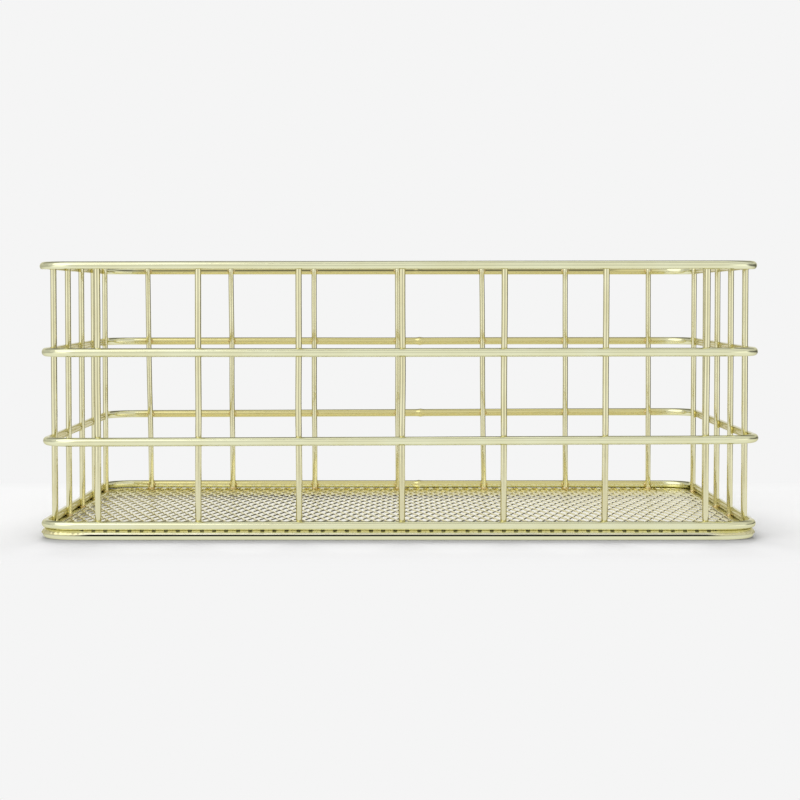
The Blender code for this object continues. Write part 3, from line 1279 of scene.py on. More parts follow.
@dataclass
class Welds:
    """The nuggets of melted metal where an upright meets a ring or the floor.

    Attributes:
        along_ring: half size of a nugget along its ring.
        through: half size from ring to upright.
        upward: half size up and down.
        uneven: how much its radius swells and shrinks.
        uneven_waves: numbers of waves round it in which it does.
        rows: sections from pole to pole.
        sides: points round a section.
        heat: strength of its tint.
        foot_spread: how much wider a nugget at the floor is than the wire.
        foot_height: its height over the sheet.
    """

    along_ring: float = 1.75 * MM
    through: float = 0.75 * MM
    upward: float = 1.05 * MM
    uneven: float = 0.10
    uneven_waves: range = range(1, 5)
    rows: int = 9
    sides: int = 14
    heat: float = 0.55
    foot_spread: float = 1.30
    foot_height: float = 0.75 * MM

    def nugget(self, centre: np.ndarray, axes: np.ndarray, seed: int) -> Skin:
        """Work out one nugget.

        It is an ellipsoid: each point is the centre plus the three half axes
        times the parts of a point on the unit sphere, whose radius swells and
        shrinks by a ripple round it. Left-handed axes would turn its faces
        inwards, so the last one is then turned round.

        Args:
            centre: middle of the weld.
            axes: three half axes as rows; the first runs from pole to pole.
            seed: fixes the ripple.

        Returns:
            The nugget's skin, with the marks "run" and "heat".
        """
        handed = np.array([1.0, 1.0, np.sign(np.linalg.det(axes))])
        down = math.pi * (np.arange(self.rows) + 1.0) / (self.rows + 1.0)
        turns = full_turn(self.sides)
        swell = 1.0 + self.uneven * ripple(turns, 2.0 * math.pi, self.uneven_waves, seed)
        wide = np.sin(down)[:, None]
        ball = np.broadcast_arrays(
            np.cos(down)[:, None],
            wide * (swell * np.cos(turns))[None, :],
            wide * (swell * np.sin(turns))[None, :],
        )
        ball = np.concatenate([np.stack(ball, -1).reshape(-1, 3), [[1.0, 0.0, 0.0]], [[-1.0, 0.0, 0.0]]])
        points = centre + ball @ (axes * handed[:, None])
        quads = grid_quads(self.rows, self.sides, False, True)
        marks = {"run": ball * self.along_ring, "heat": np.full(len(points), self.heat)}
        return Skin(points, quads, pole_fans(self.rows, self.sides, False), marks)

    def build(self, finishes: Finishes, rings: Rings, uprights: Uprights) -> None:
        """Make the nuggets of each wall ring, and those at the uprights' feet.

        Args:
            finishes: what the materials are made with.
            rings: the rings.
            uprights: the uprights that are welded to them.
        """
        material = finishes.material(WELD_PLATING)
        stands = uprights.stands()
        for first_seed, name in zip(NUGGET_SEEDS, rings.wall_names):
            nuggets = []
            for number, (spot, stand) in enumerate(zip(uprights.weld_places(name, rings), stands)):
                outward = self.through * stand.wall.outward
                axes = np.stack([self.along_ring * stand.along_wall, outward, self.upward * WORLD_UP])
                nuggets.append(self.nugget(spot, axes, first_seed + number))
            dress(f"{name}_welds", joined(nuggets), material, Slot.RING)
        feet = []
        spread = self.foot_spread * uprights.radius()
        for number, stand in enumerate(stands):
            foot = stand.bottom + stand.drift(0.0) * stand.along_wall
            outward = spread * stand.wall.outward
            axes = np.stack([self.foot_height * WORLD_UP, outward, spread * stand.along_wall])
            feet.append(self.nugget(foot, axes, FIRST_FOOT_SEED + number))
        dress("upright_foot_welds", joined(feet), material, Slot.UPRIGHT)


@dataclass
class FloorSheet:
    """Sizes that the mesh and the hem share.

    Attributes:
        roll_angle: how far round the foot ring the hem's lip reaches.
        open_angle: where the front and back hem starts on the roll.
        border: uncut sheet inside the foot ring's centreline at the sides.
        narrow_border: the same at the front and the back.
        corner_start: how far before a corner the open part of the roll ends.
        pinch: how far the sheet's edge is drawn up to touch the base ring.
        pinch_reach: distance from the foot ring's centreline over which it rises.
        ease: how much closer to the foot ring the lip lies.
        gauge: thickness of the hem.
        slack_x: distance from the border along X over which the sheet's swells grow.
        slack_y: the same along Y.
        foot: the foot ring's centreline.
        foot_height: its height.
        height: height of the sheet's middle.
        roll_radius: distance from the foot ring's centreline to the sheet's middle.
    """

    roll_angle: float = math.radians(66.0)
    open_angle: float = math.radians(43.0)
    border: float = 3.0 * MM
    narrow_border: float = 1.8 * MM
    corner_start: float = 6.0 * MM
    pinch: float = 0.2 * MM
    pinch_reach: float = 7.0 * MM
    ease: float = 0.05 * MM
    gauge: float = 0.5 * MM
    slack_x: float = 16.0 * MM
    slack_y: float = 22.0 * MM
    foot: RoundedLoop = field(init=False)
    foot_height: float = field(init=False)
    height: float = field(init=False)
    roll_radius: float = field(init=False)

    def __post_init__(self) -> None:
        """Read the sheet's places from the frame."""
        self.foot = Rings().loop("foot_ring")
        foot_low, foot_high = node_box("foot_ring")
        sheet_low, sheet_high = node_box("mesh_floor")
        self.foot_height = (foot_low[2] + foot_high[2]) / 2.0
        self.height = (sheet_low[2] + sheet_high[2]) / 2.0
        self.roll_radius = self.height - self.foot_height

    def rolled(self, across: np.ndarray) -> tuple[np.ndarray, np.ndarray, np.ndarray]:
        """Bend the flat sheet over the foot ring.

        Up to the foot ring's centreline the sheet is flat, but for a smooth
        rise at its edge to the base ring. Past it, the angle on the roll is
        the distance over the roll's radius, the sine of the angle leads
        outwards and the cosine upwards.

        Args:
            across: distance past the foot ring's centreline, negative inside.

        Returns:
            Reach past the centreline, height, and angle on the roll.
        """
        angle = np.maximum(across, 0.0) / self.roll_radius
        pinch = self.pinch * smoothstep(-self.pinch_reach, -self.border / 2.0, across)
        raised = (pinch + self.ease) * (1.0 - smoothstep(0.0, self.open_angle, angle))
        radius = self.roll_radius + raised - self.ease
        reach = np.minimum(across, 0.0) + radius * np.sin(angle)
        height = self.foot_height + radius * np.cos(angle)
        return reach, height, angle

    def swell(self, x: np.ndarray, y: np.ndarray) -> np.ndarray:
        """Return how far the slack sheet stands above its flat place.

        Broad bell-shaped swells are added up and faded to nought at the edges.

        Args:
            x: places along X.
            y: places along Y.

        Returns:
            Heights in metres.
        """
        fade = smoothstep(0.0, self.slack_x, self.foot.half_length - self.border - np.abs(x))
        fade = fade * smoothstep(0.0, self.slack_y, self.foot.half_depth - self.border - np.abs(y))
        total = np.zeros(np.broadcast(x, y).shape)
        for height, centre_x, centre_y, wide, deep in SWELLS:
            total = total + height * np.exp(-(((x - centre_x) / wide) ** 2) - ((y - centre_y) / deep) ** 2)
        return fade * total


# Each swell's height, its middle along X and Y, and how far it spreads along X and Y
SWELLS = (
    (0.9 * MM, 70.0 * MM, -5.0 * MM, 28.0 * MM, 40.0 * MM),
    (0.5 * MM, -60.0 * MM, 20.0 * MM, 45.0 * MM, 35.0 * MM),
    (0.4 * MM, 10.0 * MM, -20.0 * MM, 40.0 * MM, 45.0 * MM),
)


@dataclass
class MeshFloor:
    """The expanded mesh: zigzag strands that meet at their turns.

    Attributes:
        sheet: the sheet's shared sizes.
        pitch_x: distance between openings side by side.
        pitch_y: distance between openings one behind the other.
        origin_x: middle of one opening, along X.
        origin_y: middle of the same opening, along Y.
        strand: width of a strand.
        edge_strand: its width where the mesh rolls over the foot ring.
        closer: how much wider it is towards the back and the left.
        widening: distance over which it grows at the foot ring.
        bevel: how far the left edge of a strand is rolled over by the slitting.
        gauge: thickness of a strand.
        roll: how far the strands are twisted out of the sheet.
        bond_gain: how much the zigzag is clipped flat at the bonds.
        bond_share: share of a strand's width by which touching strands stand apart.
        points_per_pitch: sections along one opening.
        roll_sections: sections over the foot ring.
        tuck: how far a strand runs on under the hem.
        leeway: how far an outermost strand may lie past the hem's inner edge, in spacings.
        settle: distances from a strand's end between which its twist sets in.
        shut_back: places along Y between which the mesh gets to look closed.
        shut_left: distances to the left between which it does.
        shut_pale: how much of a sheared face's dark tone, partly painted shade, is taken away there.
        roll_shade: how far the left faces over the foot ring at the front take the dark tone of a sheared
            face, as painted shade in the holes there.
        heat: strength of the tint at the hem.
        heat_reach: how far that tint goes.
        cool_back: places along Y between which it fades.
        cool_loss: how much of it the back loses.
        gold: how much painted yellow reflection the strands take, and how much more where the mesh looks
            closed.
    """

    sheet: FloorSheet
    pitch_x: float = 4.286 * MM
    pitch_y: float = 15.8 * MM
    origin_x: float = 7.05 * MM
    origin_y: float = -90.8 * MM
    strand: float = 0.74 * MM
    edge_strand: float = 1.42 * MM
    closer: float = 0.30 * MM
    widening: float = 5.0 * MM
    bevel: float = 0.34 * MM
    gauge: float = 0.46 * MM
    roll: float = math.radians(2.0)
    bond_gain: float = 1.35
    bond_share: float = 0.97
    points_per_pitch: int = 16
    roll_sections: int = 5
    tuck: float = 0.45 * MM
    leeway: float = 0.25
    settle: tuple[float, float] = (0.6 * MM, 7.0 * MM)
    shut_back: tuple[float, float] = (54.0 * MM, 66.0 * MM)
    shut_left: tuple[float, float] = (40.0 * MM, 118.0 * MM)
    shut_pale: float = 0.65
    roll_shade: float = 0.5
    heat: float = 0.75
    heat_reach: float = 3.2 * MM
    cool_back: tuple[float, float] = (60.0 * MM, 80.0 * MM)
    cool_loss: float = 0.85
    gold: tuple[float, float] = (0.62, 0.18)

    def strand_places(self) -> tuple[np.ndarray, np.ndarray]:
        """Find the strands that lie inside the hem.

        Returns:
            The strands' middle lines along X, and 1 or -1 for the way each first turns.
        """
        spacing = self.pitch_x / 2.0
        first_x = self.origin_x + spacing / 2.0
        limit = self.sheet.foot.half_length - self.sheet.border
        count = int(2 * limit / spacing)
        numbers = np.arange(-count, count)
        places = first_x + spacing * numbers
        inside = np.abs(places) < limit + self.leeway * spacing
        return places[inside], np.where(numbers[inside] % 2 == 0, 1.0, -1.0)

    def reach(self, x: np.ndarray) -> np.ndarray:
        """Return how far along Y a strand runs before it ends under the hem.

        Between the corners it ends on the roll, at the open angle. Round a
        corner it follows the border's quarter circle.

        Args:
            x: middle lines of the strands.

        Returns:
            Distances along the sheet from its middle.
        """
        foot = self.sheet.foot
        on_roll = foot.half_depth + self.sheet.roll_radius * self.sheet.open_angle + self.tuck
        straight_end = foot.half_length - foot.radius
        bend = np.clip(np.abs(x) - straight_end, 0.0, None)
        inner = foot.radius - self.sheet.border
        arc = np.sqrt(np.maximum(inner**2 - bend**2, 0.0))
        round_corner = foot.half_depth - foot.radius + arc + self.tuck
        share = smoothstep(straight_end - self.sheet.corner_start, straight_end, np.abs(x))
        return on_roll * (1.0 - share) + round_corner * share

    def skin(self) -> Skin:
        """Work out all strands at once.

        A strand's middle line is its place along X plus the half swing times a
        triangle wave that is clipped flat at both turns, so that it touches
        its neighbours there by turns. Its section is a flat bar with its left
        upper edge rolled over. It is twisted about the middle line, which
        rises and falls with the swing so that the edges of touching strands
        meet. The strand then follows the sheet's swell and bends over the foot
        ring.

        Returns:
            The mesh's skin, with the marks "run", "heat" and "gold".
        """
        places, ways = self.strand_places()
        reach = self.reach(places)
        longest = reach.max()
        flat_end = self.sheet.foot.half_depth
        interior = np.linspace(-flat_end, flat_end, int(2 * flat_end * self.points_per_pitch / self.pitch_y))
        roll_shares = np.arange(1, self.roll_sections + 1) / self.roll_sections
        over_roll = flat_end + (longest - flat_end) * roll_shares
        stations = np.concatenate([-over_roll[::-1], interior, over_roll]) / longest
        along = reach[:, None] * stations[None, :]
        from_end = reach[:, None] - np.abs(along)
        from_side = self.sheet.foot.half_length - np.abs(places)[:, None]
        loose = smoothstep(*self.settle, from_end) * smoothstep(0.0, self.settle[1], from_side)
        roll = self.roll * loose
        widened = smoothstep(-self.widening, 0.0, np.abs(along) - flat_end)
        strand = self.strand + self.closer * self.shut(places[:, None], along)
        strand = strand + (self.edge_strand - strand) * widened
        phase = (along - self.origin_y) / self.pitch_y
        triangle = 4.0 * np.abs(phase - np.floor(phase + 0.5)) - 1.0
        wave = np.clip(-triangle * self.bond_gain, -1.0, 1.0) * ways[:, None]
        swing = (self.pitch_x / 2.0 - self.bond_share * strand * np.cos(roll)) / 2.0
        lift = -self.bond_share * strand * np.sin(roll) / 2.0 * wave
        past, height, _ = self.sheet.rolled(np.abs(along) - flat_end)
        x = places[:, None] + swing * wave
        y = np.sign(along) * (flat_end + past)
        middle = np.stack([x, y, height + lift + self.sheet.swell(x, y)], -1)
        heading = unit(np.gradient(middle, axis=1))
        right = np.array([1.0, 0.0, 0.0])
        across = unit(right - (heading @ right)[..., None] * heading)
        upward = np.cross(across, heading)
        turned_across = np.cos(roll)[..., None] * across + np.sin(roll)[..., None] * upward
        turned_up = -np.sin(roll)[..., None] * across + np.cos(roll)[..., None] * upward
        half = strand / 2.0
        sideways = np.stack([half, self.bevel * (1.0 - widened) - half, -half, half], -1)
        upwards = np.array([1.0, 1.0, -1.0, -1.0]) * self.gauge / 2.0
        corners = (
            middle[:, :, None, :]
            + sideways[..., None] * turned_across[:, :, None, :]
            + upwards[None, None, :, None] * turned_up[:, :, None, :]
        )
        return self.as_skin(corners, along, from_end, widened)

    def shut(self, x: np.ndarray, y: np.ndarray) -> np.ndarray:
        """Return 1 towards the back and the left, where the mesh looks closed and takes more painted yellow
        reflection, else 0.
        """
        return np.maximum(smoothstep(*self.shut_back, y), smoothstep(*self.shut_left, -x))

    def as_skin(
        self, corners: np.ndarray, along: np.ndarray, from_end: np.ndarray, widened: np.ndarray
    ) -> Skin:
        """Join the strands' section corners into closed bars.

        A bar's faces go round it as top, left, bottom and right. The right ones
        and both ends are sheared and take a dark tone, partly painted shade of faces turned from the key
        lamp, and over the foot ring at the front the left ones are partly so, as painted shade in the holes.
        The tint at the hem falls off exponentially.

        Args:
            corners: shape (strands, sections, 4, 3).
            along: distance of each section along its strand.
            from_end: distance of each section from its strand's end.
            widened: how far each section is widened, from 0 to 1.

        Returns:
            The skin of all strands.
        """
        strands, sections = corners.shape[:2]
        first_cap = np.array([[0, 1, 2, 3]])
        last_cap = (sections - 1) * 4 + first_cap[:, ::-1]
        bar = np.concatenate([grid_quads(sections, 4, False, True), first_cap, last_cap])
        quads = (bar[None] + (np.arange(strands) * sections * 4)[:, None, None]).reshape(-1, 4)
        middles = corners[:, :-1].mean(2)
        # Painted shade on the sheared right faces, less towards the back and the left, and on the left faces
        # over the roll at the front
        right = 1.0 - self.shut_pale * self.shut(middles[..., 0], middles[..., 1])
        left = self.roll_shade * widened[:, :-1] * (along[:, :-1] < 0.0)
        plain = np.zeros_like(left)
        faces = np.stack([plain, left, plain, right], -1)
        cut = np.concatenate([faces.reshape(strands, -1), np.ones((strands, 2))], 1).ravel()
        points = corners.reshape(-1, 3)
        from_side = self.sheet.foot.half_length - self.sheet.border - np.abs(points[:, 0])
        edge = np.minimum(np.repeat(from_end.ravel(), 4), from_side)
        heat = self.heat * np.exp(-np.maximum(edge, 0.0) / self.heat_reach)
        heat = heat * (1.0 - self.cool_loss * smoothstep(*self.cool_back, points[:, 1]))
        run = np.stack([np.repeat(along.ravel(), 4), points[:, 0], points[:, 2]], -1)
        # Painted yellow reflection, more towards the back and the left
        gold = self.gold[0] + self.gold[1] * self.shut(points[:, 0], points[:, 1])
        return Skin(points, quads, marks={"run": run, "heat": heat, "gold": gold}, cut=cut, smooth=False)

    def build(self, finishes: Finishes) -> None:
        """Make the mesh, which casts no shadow and throws no light on matt surfaces.

        Args:
            finishes: what the material is made with.
        """
        material = finishes.material(FLOOR_PLATING)
        strands = dress("mesh_floor_strands", self.skin(), material, Slot.FLOOR, "mesh_floor")
        strands.visible_shadow = False
        strands.visible_diffuse = False


@dataclass
class FloorHem:
    """The sheet's solid edge, rolled down over the foot ring.

    Attributes:
        sheet: the sheet's shared sizes.
        step: distance between sections along the edge.
        across_points: points across the sheet, on each face.
        crush: height of the pleats where the edge is gathered round a corner.
        pleat: distance between pleats.
        pleat_stray: how far the pleats stray from even spacing, as an angle.
        stray_waves: numbers of waves round the edge in which they do.
        ruffle: height of the small unevenness all along the edge.
        ruffle_waves: numbers of waves round the edge in it.
        pushed: angles on the roll between which pleats and unevenness set in.
        lip_wave: how much the lip's angle wanders.
        lip_waves: numbers of waves round the edge in which it does.
        corner_lip: how much further the lip reaches in the corners.
        closed_side: sideways parts of the outward direction between which the hem closes the roll.
        overlap: how far the flat border starts inside the foot ring's centreline.
        border_share: thickness of the flat border, as a share of the gauge.
        lip_heat: tint at the lip's inner edge.
        border_heat: tint at the border's inner edge.
        corner_heat: tint in the corners.
        heat_reach: how far the tint at an inner edge goes.
        back: places along Y between which the hem counts as the back one.
        back_loss: how much of the edges' tint the back loses.
        gold: how much painted yellow reflection the hem takes at the front, and how much more in the
            corners.
        back_gold_reflection: share of that by which the back takes more of it.
    """

    sheet: FloorSheet
    step: float = 0.6 * MM
    across_points: int = 12
    crush: float = 0.24 * MM
    pleat: float = 1.9 * MM
    pleat_stray: float = 3.0
    stray_waves: range = range(20, 60)
    ruffle: float = 0.05 * MM
    ruffle_waves: range = range(60, 220)
    pushed: tuple[float, float] = (0.1, 0.6)
    lip_wave: float = math.radians(4.0)
    lip_waves: range = range(5, 60)
    corner_lip: float = math.radians(8.0)
    closed_side: tuple[float, float] = (0.5, 0.9)
    overlap: float = 0.1 * MM
    border_share: float = 0.9
    lip_heat: float = 0.2
    border_heat: float = 0.65
    corner_heat: float = 0.35
    heat_reach: float = 0.9 * MM
    back: tuple[float, float] = (0.0, 60.0 * MM)
    back_loss: float = 0.85
    gold: tuple[float, float] = (0.15, 0.55)
    back_gold_reflection: float = 0.4

    def cornerness(self, places: np.ndarray) -> np.ndarray:
        """Return where the edge is gathered.

        Args:
            places: positions on the foot ring's centreline, shape (n, 3).

        Returns:
            1 in the corners and 0 along the sides, with a smooth change between.
        """
        past_x, past_y = self.sheet.foot.past_straights(places)
        start = self.sheet.corner_start
        return smoothstep(-start, 0.0, past_x) * smoothstep(-start, 0.0, past_y)

    def walk(self) -> tuple[np.ndarray, np.ndarray, np.ndarray, np.ndarray]:
        """Go round the foot ring, section by section.

        Returns:
            Places and outward directions, each of shape (n, 3), and distances
            and cornerness, each of shape (n,).
        """
        loop = self.sheet.foot
        along = loop.sections(self.step)
        places, outward = loop.walk(along)
        return places + Rings().lean("foot_ring", places), outward, along, self.cornerness(places)

    def strip(self, start: np.ndarray, end: np.ndarray, gauge: float, end_heat: float) -> Skin:
        """Work out a strip of sheet that runs right round the foot ring.

        A section is carried round the foot ring's centreline. Its middle line
        runs evenly from the start to the end, flat or over the roll, and is
        offset by half the gauge to both sides; both edges are squared off. In
        the corners the sheet is gathered into pleats, a sine wave along the
        edge that fades out where the sheet is flat.

        Args:
            start: outer edge, as a distance past the centreline, per section.
            end: inner edge, likewise.
            gauge: thickness.
            end_heat: tint at the inner edge.

        Returns:
            The strip's skin, with the marks "run", "heat" and "gold".
        """
        places, outward, along, gathered = self.walk()
        length = self.sheet.foot.length
        shares = np.linspace(0.0, 1.0, self.across_points)
        upper = start[:, None] + (end - start)[:, None] * shares[None, :]
        across = np.concatenate([upper, upper[:, ::-1]], 1)
        columns = across.shape[1]
        reach, height, angle = self.sheet.rolled(across)
        stray = self.pleat_stray * ripple(along, length, self.stray_waves, PLEAT_SEED)
        pleats = np.sin(2.0 * math.pi * along / self.pleat + stray)
        fold = self.crush * gathered * (0.5 * pleats - 0.5)
        fold = fold + self.ruffle * ripple(along, length, self.ruffle_waves, RUFFLE_SEED)
        offset = np.repeat([[0.5, -0.5]], self.across_points, 1)
        push = offset * gauge + fold[:, None] * smoothstep(*self.pushed, angle)
        points = (
            places[:, None, :]
            + (reach + push * np.sin(angle))[..., None] * outward[:, None, :]
            + (height + push * np.cos(angle))[..., None] * WORLD_UP
        )
        from_end = np.abs(across - end[:, None])
        front = 1.0 - self.back_loss * smoothstep(*self.back, places[:, 1:2])
        heat = self.corner_heat * gathered[:, None] + end_heat * front * np.exp(-from_end / self.heat_reach)
        # Painted yellow reflection, more at the back and in the corners
        at_back = self.back_gold_reflection * smoothstep(*self.back, points[..., 1])
        gold = self.gold[0] + self.gold[1] * np.maximum(at_back, gathered[:, None])
        run = np.stack([np.broadcast_to(along[:, None], across.shape), across, push], -1)
        edges = np.isin(np.arange(columns), [self.across_points - 1, columns - 1])
        low, high = node_box("rim_ring")
        return Skin(
            points.reshape(-1, 3),
            grid_quads(len(along), columns, True, True),
            marks={"run": run.reshape(-1, 3), "heat": heat.ravel(), "gold": gold.ravel()},
            cut=(edges[None, :] * (places[:, 1:2] < 0.0)).ravel().astype(float),
        ).held_in(np.array([low[0], low[1], 0.0]), high)

    def skin(self) -> Skin:
        """Work out the rolled lip and the flat border.

        The lip's angle wanders by a ripple. Along the front and the back the
        lip ends partway up the roll and leaves the mesh open; round the sides
        and the corners it reaches the border.

        Returns:
            The hem's skin.
        """
        sheet = self.sheet
        _, outward, along, gathered = self.walk()
        lip = sheet.roll_angle + self.lip_wave * ripple(along, sheet.foot.length, self.lip_waves, LIP_SEED)
        lip = sheet.roll_radius * (lip + self.corner_lip * gathered)
        closed = np.maximum(smoothstep(*self.closed_side, np.abs(outward[:, 0])), gathered)
        lip_end = sheet.roll_radius * sheet.open_angle * (1.0 - closed)
        rolled_lip = self.strip(lip, lip_end, sheet.gauge, self.lip_heat)
        width = sheet.narrow_border + (sheet.border - sheet.narrow_border) * closed
        border_start = np.full(len(along), -self.overlap)
        border = self.strip(border_start, -width, self.border_share * sheet.gauge, self.border_heat)
        return joined([rolled_lip, border])

    def build(self, finishes: Finishes) -> None:
        """Make the hem."""
        dress("floor_hem_sheet", self.skin(), finishes.material(HEM_PLATING), Slot.FLOOR, "floor_hem")


# Levels of the room that metal sees, by an angle in degrees, with even changes between
# CLIMB goes from the front horizon at 0 over the top at 90 to the back at 180, and below at minus
CLIMB = (
    (-180.0, 0.95),
    (-8.0, 1.02),
    (2.0, 1.24),
    (20.0, 1.22),
    (52.0, 1.20),
    (59.0, 0.66),
    (68.0, 0.66),
    (80.0, 1.25),
    (102.0, 1.20),
    (114.0, 0.40),
    (122.0, 0.14),
    (150.0, 0.14),
    (158.0, 0.95),
)
# COMPASS goes round the horizon, from the front at 0 to the right at 90 and the left at -90
COMPASS = (
    (-158.0, 1.0),
    (-148.0, 0.66),
    (-112.0, 0.54),
    (-80.0, 0.58),
    (-66.0, 1.15),
    (-42.0, 1.25),
    (-28.0, 0.88),
    (-15.0, 0.58),
    (20.0, 0.60),
    (38.0, 0.95),
    (52.0, 1.14),
    (80.0, 1.12),
    (89.0, 0.45),
    (96.0, 0.16),
    (144.0, 0.16),
    (160.0, 1.0),
)
# ALOFT takes its place well above and below the horizon
ALOFT = ((-165.0, 1.0), (-140.0, 0.74), (140.0, 0.74), (165.0, 1.0))


@dataclass(frozen=True)
class Lamp:
    """A wide soft lamp far away.

    Attributes:
        name: its name.
        level: its strength.
        width: the angle that it fills, in degrees.
        azimuth: its compass angle from the front towards the right, in degrees.
        height: its angle above the horizon, in degrees.
        mirrored: whether metal shows it.
    """

    name: str
    level: float
    width: float
    azimuth: float
    height: float
    mirrored: bool

    @property
    def on_floor(self) -> float:
        """The light that it throws on matt level ground, as a share of full white."""
        return self.level * math.sin(math.radians(self.height)) / math.pi

    def hang(self) -> None:
        """Put the lamp into the scene."""
        data = bpy.data.lights.new(self.name, "SUN")
        data.energy = self.level
        data.angle = math.radians(self.width)
        lamp = bpy.data.objects.new(self.name, data)
        lamp.rotation_euler = (math.pi / 2.0 - math.radians(self.height), 0.0, math.radians(self.azimuth))
        lamp.visible_glossy = self.mirrored
        bpy.context.scene.collection.objects.link(lamp)


@dataclass
class Studio:
    """The pale floor, the light and the camera.

    Attributes:
        pale: the grey-white of the background.
        floor_level: that of the floor in full light.
        camera_place: the camera's position.
        camera_pitch: how far it looks down.
        lens: focal length in millimetres.
        sensor: width of its picture in millimetres.
        nearest: shortest distance at which it shows things.
        floor_reach: how far the floor goes to the back and the sides.
        floor_front: where it ends at the front.
        floor_fade: multiples of the basket's size between which it fades into the background.
        under_level: share of light that metal sees on the floor under the basket.
        under_span: multiples of the basket's size between which that grows to the full light.
        under_tint: tint of the light that the plating throws on the floor inside it.
        tint_span: multiples of the basket's size between which that tint sets in.
        far_span: distances between which the floor that metal sees takes on the room's levels.
        stray_level: share of the light that metal sends on to the floor.
        sky_level: light of the room on matt surfaces.
        aloft_span: upward or downward parts of a direction between which ALOFT takes over.
        side_span: sideways parts of a direction between which CLIMB gives way.
        side_share: how far it gives way.
        lamps: the lamps.
    """

    pale: float = 0.913
    floor_level: float = 0.985
    camera_place: tuple[float, float, float] = (0.2 * MM, -897.0 * MM, 85.6 * MM)
    camera_pitch: float = math.radians(2.544)
    lens: float = 102.4
    sensor: float = 36.0
    nearest: float = 0.01
    floor_reach: float = 6.0
    floor_front: float = -0.6
    floor_fade: tuple[float, float] = (1.12, 1.75)
    under_level: float = 0.92
    under_span: tuple[float, float] = (0.98, 1.28)
    under_tint: tuple[float, float, float] = (1.0, 0.985, 0.90)
    tint_span: tuple[float, float] = (0.98, 0.90)
    far_span: tuple[float, float] = (0.25, 0.7)
    stray_level: float = 0.2
    sky_level: float = 0.43
    aloft_span: tuple[float, float] = (0.08, 0.24)
    side_span: tuple[float, float] = (0.3, 0.7)
    side_share: float = 0.8
    lamps: tuple[Lamp, ...] = (
        Lamp("key", level=0.60, width=60.0, azimuth=-48.0, height=42.0, mirrored=True),
        Lamp("back", level=2.9, width=32.0, azimuth=182.0, height=25.0, mirrored=False),
    )

    def build(self) -> None:
        """Make the floor, the room, both lamps and the camera."""
        self.floor()
        self.room()
        for lamp in self.lamps:
            lamp.hang()
        self.camera()

    def floor(self) -> None:
        """Lay the pale floor."""
        far, near = self.floor_reach, self.floor_front
        points = np.array([[-far, near, 0.0], [far, near, 0.0], [far, far, 0.0], [-far, far, 0.0]])
        ground = bpy.data.objects.new("floor", Skin(points, np.array([[0, 1, 2, 3]])).mesh("floor"))
        ground.data.materials.append(self.floor_material())
        bpy.context.scene.collection.objects.link(ground)

    def floor_material(self) -> bpy.types.Material:
        """Make the floor's material.

        It is matt and keeps the basket's shadow. Metal sees it plain, and far
        away it fades into the background.

        Returns:
            A mix of a matt surface and plain light.
        """
        made = bpy.data.materials.new("pale_floor")
        made.use_nodes = True
        made.node_tree.nodes.clear()
        made.cycles.emission_sampling = "NONE"
        board = Board(made.node_tree)
        rays = board.add("ShaderNodeLightPath").outputs
        place = board.add("ShaderNodeTexCoord").outputs["Object"]
        parts = board.add("ShaderNodeSeparateXYZ", Vector=place).outputs
        aside = board.math("DIVIDE", board.math("ABSOLUTE", parts["X"]), CAD_BOX[1][0])
        ahead = board.math("DIVIDE", board.math("ABSOLUTE", parts["Y"]), CAD_BOX[1][1])
        outline = board.math("MAXIMUM", aside, ahead)
        level = self.floor_level / (self.sky_level + sum(lamp.on_floor for lamp in self.lamps))
        warm = solid(tuple(level * part for part in self.under_tint))
        matt_colour = board.mix(board.rise(outline, self.tint_span), grey(level), warm)
        matt = board.add("ShaderNodeBsdfDiffuse", Color=matt_colour)
        shade = board.rise(outline, self.under_span, (self.under_level, 1.0))
        stray = board.math("MULTIPLY_ADD", self.stray(board, rays), self.stray_level - 1.0, 1.0)
        distance = board.add("ShaderNodeVectorMath", {"operation": "LENGTH"}, n0=place).outputs["Value"]
        beyond = board.math("MULTIPLY", board.rise(distance, self.far_span), rays["Is Glossy Ray"])
        compass = board.math("ARCTAN2", parts["X"], board.math("MULTIPLY", parts["Y"], -1.0))
        colour = board.mix(beyond, grey(self.pale), self.profile(board, compass, COMPASS))
        plain = board.add("ShaderNodeEmission", Color=colour, Strength=board.math("MULTIPLY", shade, stray))
        share = board.math("MAXIMUM", board.rise(outline, self.floor_fade), rays["Is Glossy Ray"])
        shown = board.add("ShaderNodeMixShader", n0=share, n1=matt.outputs[0], n2=plain.outputs[0])
        board.add("ShaderNodeOutputMaterial", Surface=shown.outputs[0])
        return made

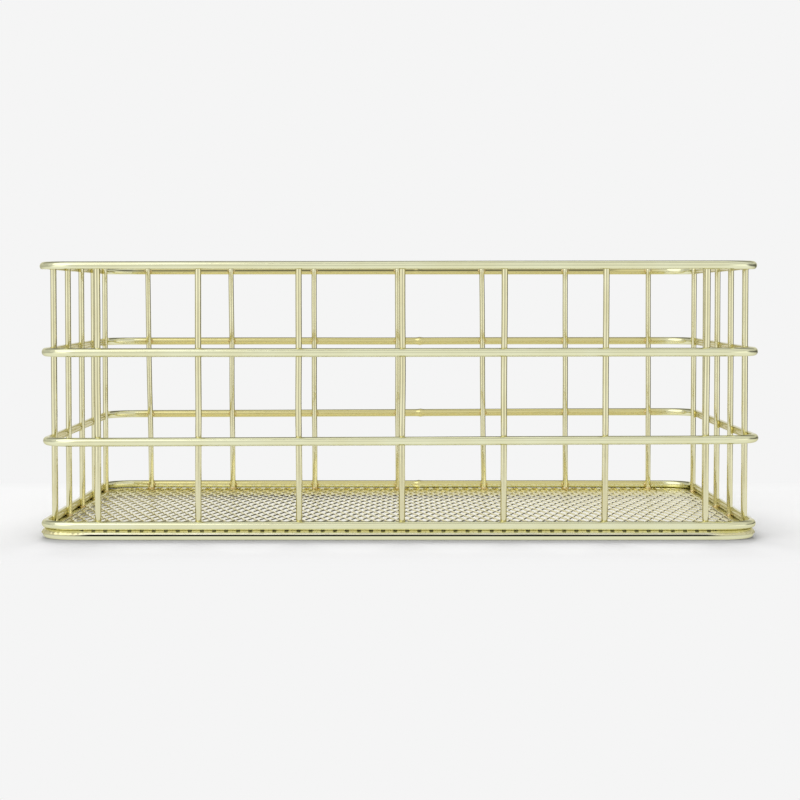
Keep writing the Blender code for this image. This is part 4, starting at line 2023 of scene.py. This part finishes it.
    def room(self) -> None:
        """Surround the basket with a pale room.

        Camera rays meet an even grey-white, and so does matt light but for its
        level. Metal meets the product of two profiles of the room: one over
        the angle from the front horizon over the top to the back, and one
        over the compass angle, which has other levels away from the horizon.
        Towards the sides the second one counts more.
        """
        world = bpy.data.worlds.new("pale_room")
        bpy.context.scene.world = world
        world.use_nodes = True
        world.node_tree.nodes.clear()
        board = Board(world.node_tree)
        rays = board.add("ShaderNodeLightPath").outputs
        direction = board.add("ShaderNodeTexCoord").outputs["Generated"]
        parts = board.add("ShaderNodeSeparateXYZ", Vector=direction).outputs
        towards = board.math("MULTIPLY", parts["Y"], -1.0)
        climb = board.math("ARCTAN2", parts["Z"], towards)
        compass = board.math("ARCTAN2", parts["X"], towards)
        aloft = board.rise(board.math("ABSOLUTE", parts["Z"]), self.aloft_span)
        near_horizon = self.profile(board, compass, COMPASS)
        ring = board.mix(aloft, near_horizon, self.profile(board, compass, ALOFT))
        both = board.mix(1.0, self.profile(board, climb, CLIMB), ring, "MULTIPLY")
        sideways = board.rise(board.math("ABSOLUTE", parts["X"]), self.side_span)
        glossy = board.mix(board.math("MULTIPLY", sideways, self.side_share), both, ring)
        stray = grey(self.stray_level * self.sky_level)
        mirrored = board.mix(self.stray(board, rays), glossy, stray)
        unseen = board.mix(rays["Is Glossy Ray"], grey(self.sky_level), mirrored)
        colour = board.mix(rays["Is Camera Ray"], unseen, grey(self.pale))
        light = board.add("ShaderNodeBackground", Color=colour, Strength=1.0)
        board.add("ShaderNodeOutputWorld", Surface=light.outputs["Background"])

    @staticmethod
    def stray(board: Board, rays: bpy.types.NodeOutputs) -> bpy.types.NodeSocket:
        """Return 1 for a ray by which metal would light the floor, and 0 for one that leads to the eye."""
        after_matt = board.math("GREATER_THAN", rays["Diffuse Depth"], 0.5)
        return board.math("MULTIPLY", rays["Is Glossy Ray"], after_matt)

    @staticmethod
    def profile(
        board: Board, angle: bpy.types.NodeSocket, stops: tuple[tuple[float, float], ...]
    ) -> bpy.types.NodeSocket:
        """Return a grey read from a profile over a full turn.

        A ramp holds no more than 1, so it holds half the levels.

        Args:
            board: the node tree of the world or of a material.
            angle: an angle from minus half a turn to half a turn.
            stops: pairs of an angle in degrees and the level there.

        Returns:
            The level as a colour.
        """
        share = board.math("MULTIPLY_ADD", angle, 0.5 / math.pi, 0.5)
        shades = tuple(((degrees + 180.0) / 360.0, grey(level / 2.0)) for degrees, level in stops)
        return board.mix(1.0, board.ramp(share, shades), grey(2.0), "MULTIPLY")

    def camera(self) -> None:
        """Set up the camera at the photograph's viewing angle."""
        data = bpy.data.cameras.new("camera")
        data.lens = self.lens
        data.sensor_width = self.sensor
        data.clip_start = self.nearest
        camera = bpy.data.objects.new("camera", data)
        camera.location = self.camera_place
        camera.rotation_euler = (math.pi / 2.0 - self.camera_pitch, 0.0, 0.0)
        bpy.context.scene.collection.objects.link(camera)
        bpy.context.scene.camera = camera


def main() -> None:
    """Dress the basket and set up the studio."""
    Studio().build()
    bpy.context.scene.view_settings.view_transform = "Standard"
    finishes = Finishes()
    rings = Rings()
    uprights = Uprights()
    rings.build(finishes, uprights)
    uprights.build(finishes, rings)
    Welds().build(finishes, rings, uprights)
    sheet = FloorSheet()
    MeshFloor(sheet).build(finishes)
    FloorHem(sheet).build(finishes)


if __name__ == "__main__":
    main()
